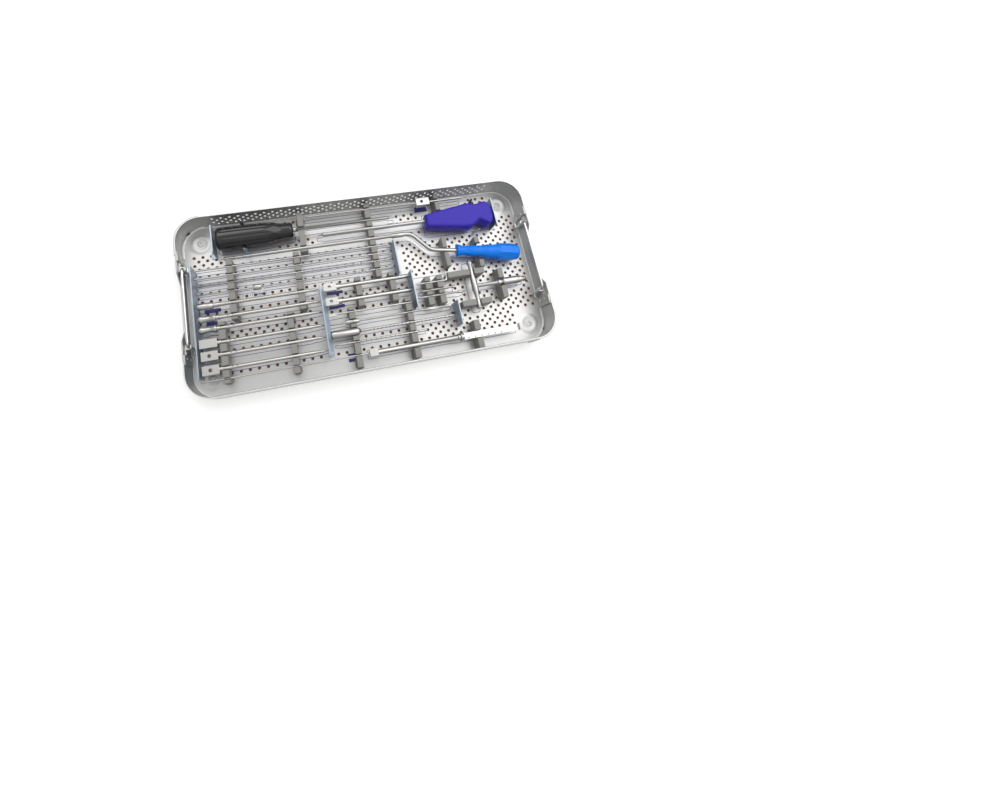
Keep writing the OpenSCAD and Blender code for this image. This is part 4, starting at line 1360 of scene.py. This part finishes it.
class TRAY_OT_gauge(bpy.types.Operator):
    """Make the depth gauge with its ring, ruler and scales"""

    bl_idname = "tray.gauge"
    bl_label = "Depth gauge"

    def execute(self, context):
        steel = instrument_steel()
        lo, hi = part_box("gauge_body")
        y = centre("gauge_body").y
        refine("gauge_body", steel, bevel=0.3 * MM)
        ticks = bmesh.new()
        tube_r = 3.5 * MM
        for i in range(40):
            x = lo.x + (22 + i * 2.4) * MM
            length = (1.5 if i % 5 else 2.4) * MM
            place = Matrix.Translation((x, y, AXIS_Z)) @ Matrix.Rotation(math.radians(58), 4, "X")
            made = box(ticks, (-0.2 * MM, -length / 2, tube_r - 0.12 * MM),
                       (0.2 * MM, length / 2, tube_r + 0.03 * MM))
            bmesh.ops.transform(ticks, matrix=place, verts=made)
        ruler_z = AXIS_Z + 0.9 * MM
        for i in range(6):
            x = (118.5 + i * 9.4) * MM
            spot = [(x + 0.9 * MM * math.cos(a), y - 2.6 * MM + 0.9 * MM * math.sin(a))
                    for a in (math.pi * k / 6 for k in range(12))]
            slab(ticks, spot, ruler_z - 0.05 * MM, ruler_z + 0.04 * MM)
        for i in range(60):
            x = (113 + i * 1.25) * MM
            length = (0.8 if i % 5 else 1.5) * MM
            box(ticks, (x - 0.09 * MM, y + 4.3 * MM - length, ruler_z - 0.05 * MM),
                (x + 0.09 * MM, y + 4.3 * MM, ruler_z + 0.04 * MM))
        add_solid("gauge_scale", ticks, scale_black(), "depth_gauge")
        fittings = bmesh.new()
        ring = [(108 * MM, y + dy, AXIS_Z + dz) for dy, dz in arc(0, 0.6 * MM, 5.6 * MM, -60, 240, 18)]
        tube(fittings, ring, 1.1 * MM, sides=12)
        lip = [(hi.x - (1.6 - dx) * MM, y, ruler_z + dz * MM) for dx, dz in arc(0, 1.4, 1.5, -90, 60, 8)]
        for (xa, _, za), (xb, _, zb) in zip(lip, lip[1:]):
            corners = [(x, y + side * 4.5 * MM, z) for side in (-1, 1) for x, z in ((xa, za), (xb, zb))]
            corners = [corners[i] for i in (0, 1, 3, 2)]
            quad = [fittings.verts.new(p) for p in corners]
            thick = [fittings.verts.new((p[0] - 0.5 * MM, p[1], p[2] + 0.4 * MM)) for p in corners]
            skin(fittings, [quad, thick])
        add_solid("gauge_ring_and_lip", fittings, polished_steel(), "depth_gauge",
                  smooth_deg=50)
        rod = bmesh.new()
        lo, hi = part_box("marked_rod")
        radius = (hi.z - lo.z) / 2
        y = centre("marked_rod").y
        for i in range(16):
            x = lo.x + (14 + i * 6.4) * MM
            lathe(rod, (x, y, AXIS_Z), [(0, radius / MM + 0.02), (0.5, radius / MM + 0.02)], sides=20)
        add_solid("rod_rings", rod, scale_black(), "measuring_rod")
        return {"FINISHED"}


# ------------------------------------------------------------------ stage


class TRAY_OT_stage(bpy.types.Operator):
    """Set the pale floor, the soft lights and the camera"""

    bl_idname = "tray.stage"
    bl_label = "Stage"

    def execute(self, context):
        scene = context.scene
        scene.view_settings.view_transform = "Standard"
        bm = bmesh.new()
        slab(bm, rounded_plan(12.0, 12.0, 0.5, 4), -0.02, -0.0001)
        mesh = bpy.data.meshes.new("pale_floor")
        bm.to_mesh(mesh)
        bm.free()
        floor = bpy.data.objects.new("pale_floor", mesh)
        pale = finish_material("Pale floor", (0.95, 0.95, 0.95), 1.0, 0.995, (0.8, 0.9), cloud_scale=2.0)
        glow = pale.node_tree.nodes["Principled BSDF"].inputs
        glow["Emission Color"].default_value = (1.0, 1.0, 1.0, 1.0)
        glow["Emission Strength"].default_value = 0.3
        mesh.materials.append(pale)
        scene.collection.objects.link(floor)
        bm = bmesh.new()
        slab(bm, rounded_plan(TRAY_L - 12 * MM, TRAY_W - 12 * MM, 26 * MM, 6), 0.0, 0.0003)
        mesh = bpy.data.meshes.new("brown_mat")
        bm.to_mesh(mesh)
        bm.free()
        mat = bpy.data.objects.new("brown_mat", mesh)
        mesh.materials.append(finish_material("Brown table top", (0.36, 0.17, 0.095), 1.1, 0.9, (0.6, 0.8)))
        scene.collection.objects.link(mat)
        self.light("Overhead", (0.85, 0.5, 1.5), 1.5, 12.0)
        self.light("Right fill", (1.2, -0.5, 1.3), 1.2, 2.0)
        self.light("Back fill", (-0.45, 0.95, 1.5), 0.8, 5.0)
        scene.world = self.sky()
        self.camera(scene)
        return {"FINISHED"}

    def sky(self):
        """An even studio sky that darkens towards the horizon."""
        world = bpy.data.worlds.new("Studio")
        world.use_nodes = True
        nodes, links = world.node_tree.nodes, world.node_tree.links
        coords = nodes.new("ShaderNodeTexCoord")
        height = nodes.new("ShaderNodeSeparateXYZ")
        links.new(coords.outputs["Generated"], height.inputs["Vector"])
        shade = nodes.new("ShaderNodeMapRange")
        shade.inputs["From Min"].default_value = 0.0
        shade.inputs["From Max"].default_value = 0.9
        shade.inputs["To Min"].default_value = 0.2
        shade.inputs["To Max"].default_value = 0.82
        links.new(height.outputs["Z"], shade.inputs["Value"])
        links.new(shade.outputs["Result"], nodes["Background"].inputs["Strength"])
        nodes["Background"].inputs["Color"].default_value = (1.0, 0.995, 0.985, 1.0)
        return world

    def light(self, name, place, size, power):
        data = bpy.data.lights.new(name, "AREA")
        data.shape = "SQUARE"
        data.size = size
        data.energy = power
        lamp = bpy.data.objects.new(name, data)
        lamp.location = place
        lamp.rotation_mode = "QUATERNION"
        lamp.rotation_quaternion = (-Vector(place)).to_track_quat("-Z", "Y")
        bpy.context.scene.collection.objects.link(lamp)

    def camera(self, scene):
        """A wide view from above and in front, turned in its plane, the tray up and left of the middle."""
        azimuth, elevation, roll = math.radians(-33.01), math.radians(72.24), math.radians(23.24)
        distance = 0.6457
        target = Vector((0.02819, 0.01369, FLOOR_Z))
        back = Vector((math.sin(azimuth) * math.cos(elevation), -math.cos(azimuth) * math.cos(elevation),
                       math.sin(elevation)))
        right = Vector((math.cos(azimuth), math.sin(azimuth), 0))
        up = back.cross(right)
        turned_right = right * math.cos(roll) + up * math.sin(roll)
        turned_up = up * math.cos(roll) - right * math.sin(roll)
        data = bpy.data.cameras.new("Camera")
        data.sensor_width = 36.0
        data.lens = 36.0 * 0.459589
        data.shift_x = 0.11413
        data.shift_y = -0.12774
        data.clip_start = 0.01
        eye = bpy.data.objects.new("Camera", data)
        rotation = Matrix((turned_right, turned_up, back)).transposed()
        eye.matrix_world = Matrix.Translation(target + back * distance) @ rotation.to_4x4()
        scene.collection.objects.link(eye)
        scene.camera = eye


# ------------------------------------------------------------------ panel and running


OPERATORS = (TRAY_OT_stage, TRAY_OT_floor, TRAY_OT_walls, TRAY_OT_handles, TRAY_OT_supports, TRAY_OT_plates,
             TRAY_OT_print, TRAY_OT_black_driver, TRAY_OT_violet_driver, TRAY_OT_curved_tool,
             TRAY_OT_cutting_tools, TRAY_OT_plain_tools, TRAY_OT_gauge)


class TRAY_PT_panel(bpy.types.Panel):
    """Lists the tray's groups of pieces"""

    bl_idname = "TRAY_PT_panel"
    bl_label = "Instrument tray"
    bl_space_type = "VIEW_3D"
    bl_region_type = "UI"
    bl_category = "Tray"

    def draw(self, context):
        for operator in OPERATORS:
            self.layout.operator(operator.bl_idname)
        for group in (context.scene.tray_sheet, context.scene.tray_grips):
            for name in group.__annotations__:
                self.layout.prop(group, name)


CLASSES = (TraySheetSizes, TrayGripColours, *OPERATORS, TRAY_PT_panel)


def register():
    for cls in CLASSES:
        bpy.utils.register_class(cls)
    bpy.types.Scene.tray_sheet = bpy.props.PointerProperty(type=TraySheetSizes)
    bpy.types.Scene.tray_grips = bpy.props.PointerProperty(type=TrayGripColours)


def unregister():
    del bpy.types.Scene.tray_sheet
    del bpy.types.Scene.tray_grips
    for cls in reversed(CLASSES):
        bpy.utils.unregister_class(cls)


def main():
    register()
    for operator in OPERATORS:
        group, name = operator.bl_idname.split(".")
        getattr(getattr(bpy.ops, group), name)()


if __name__ == "__main__":
    main()
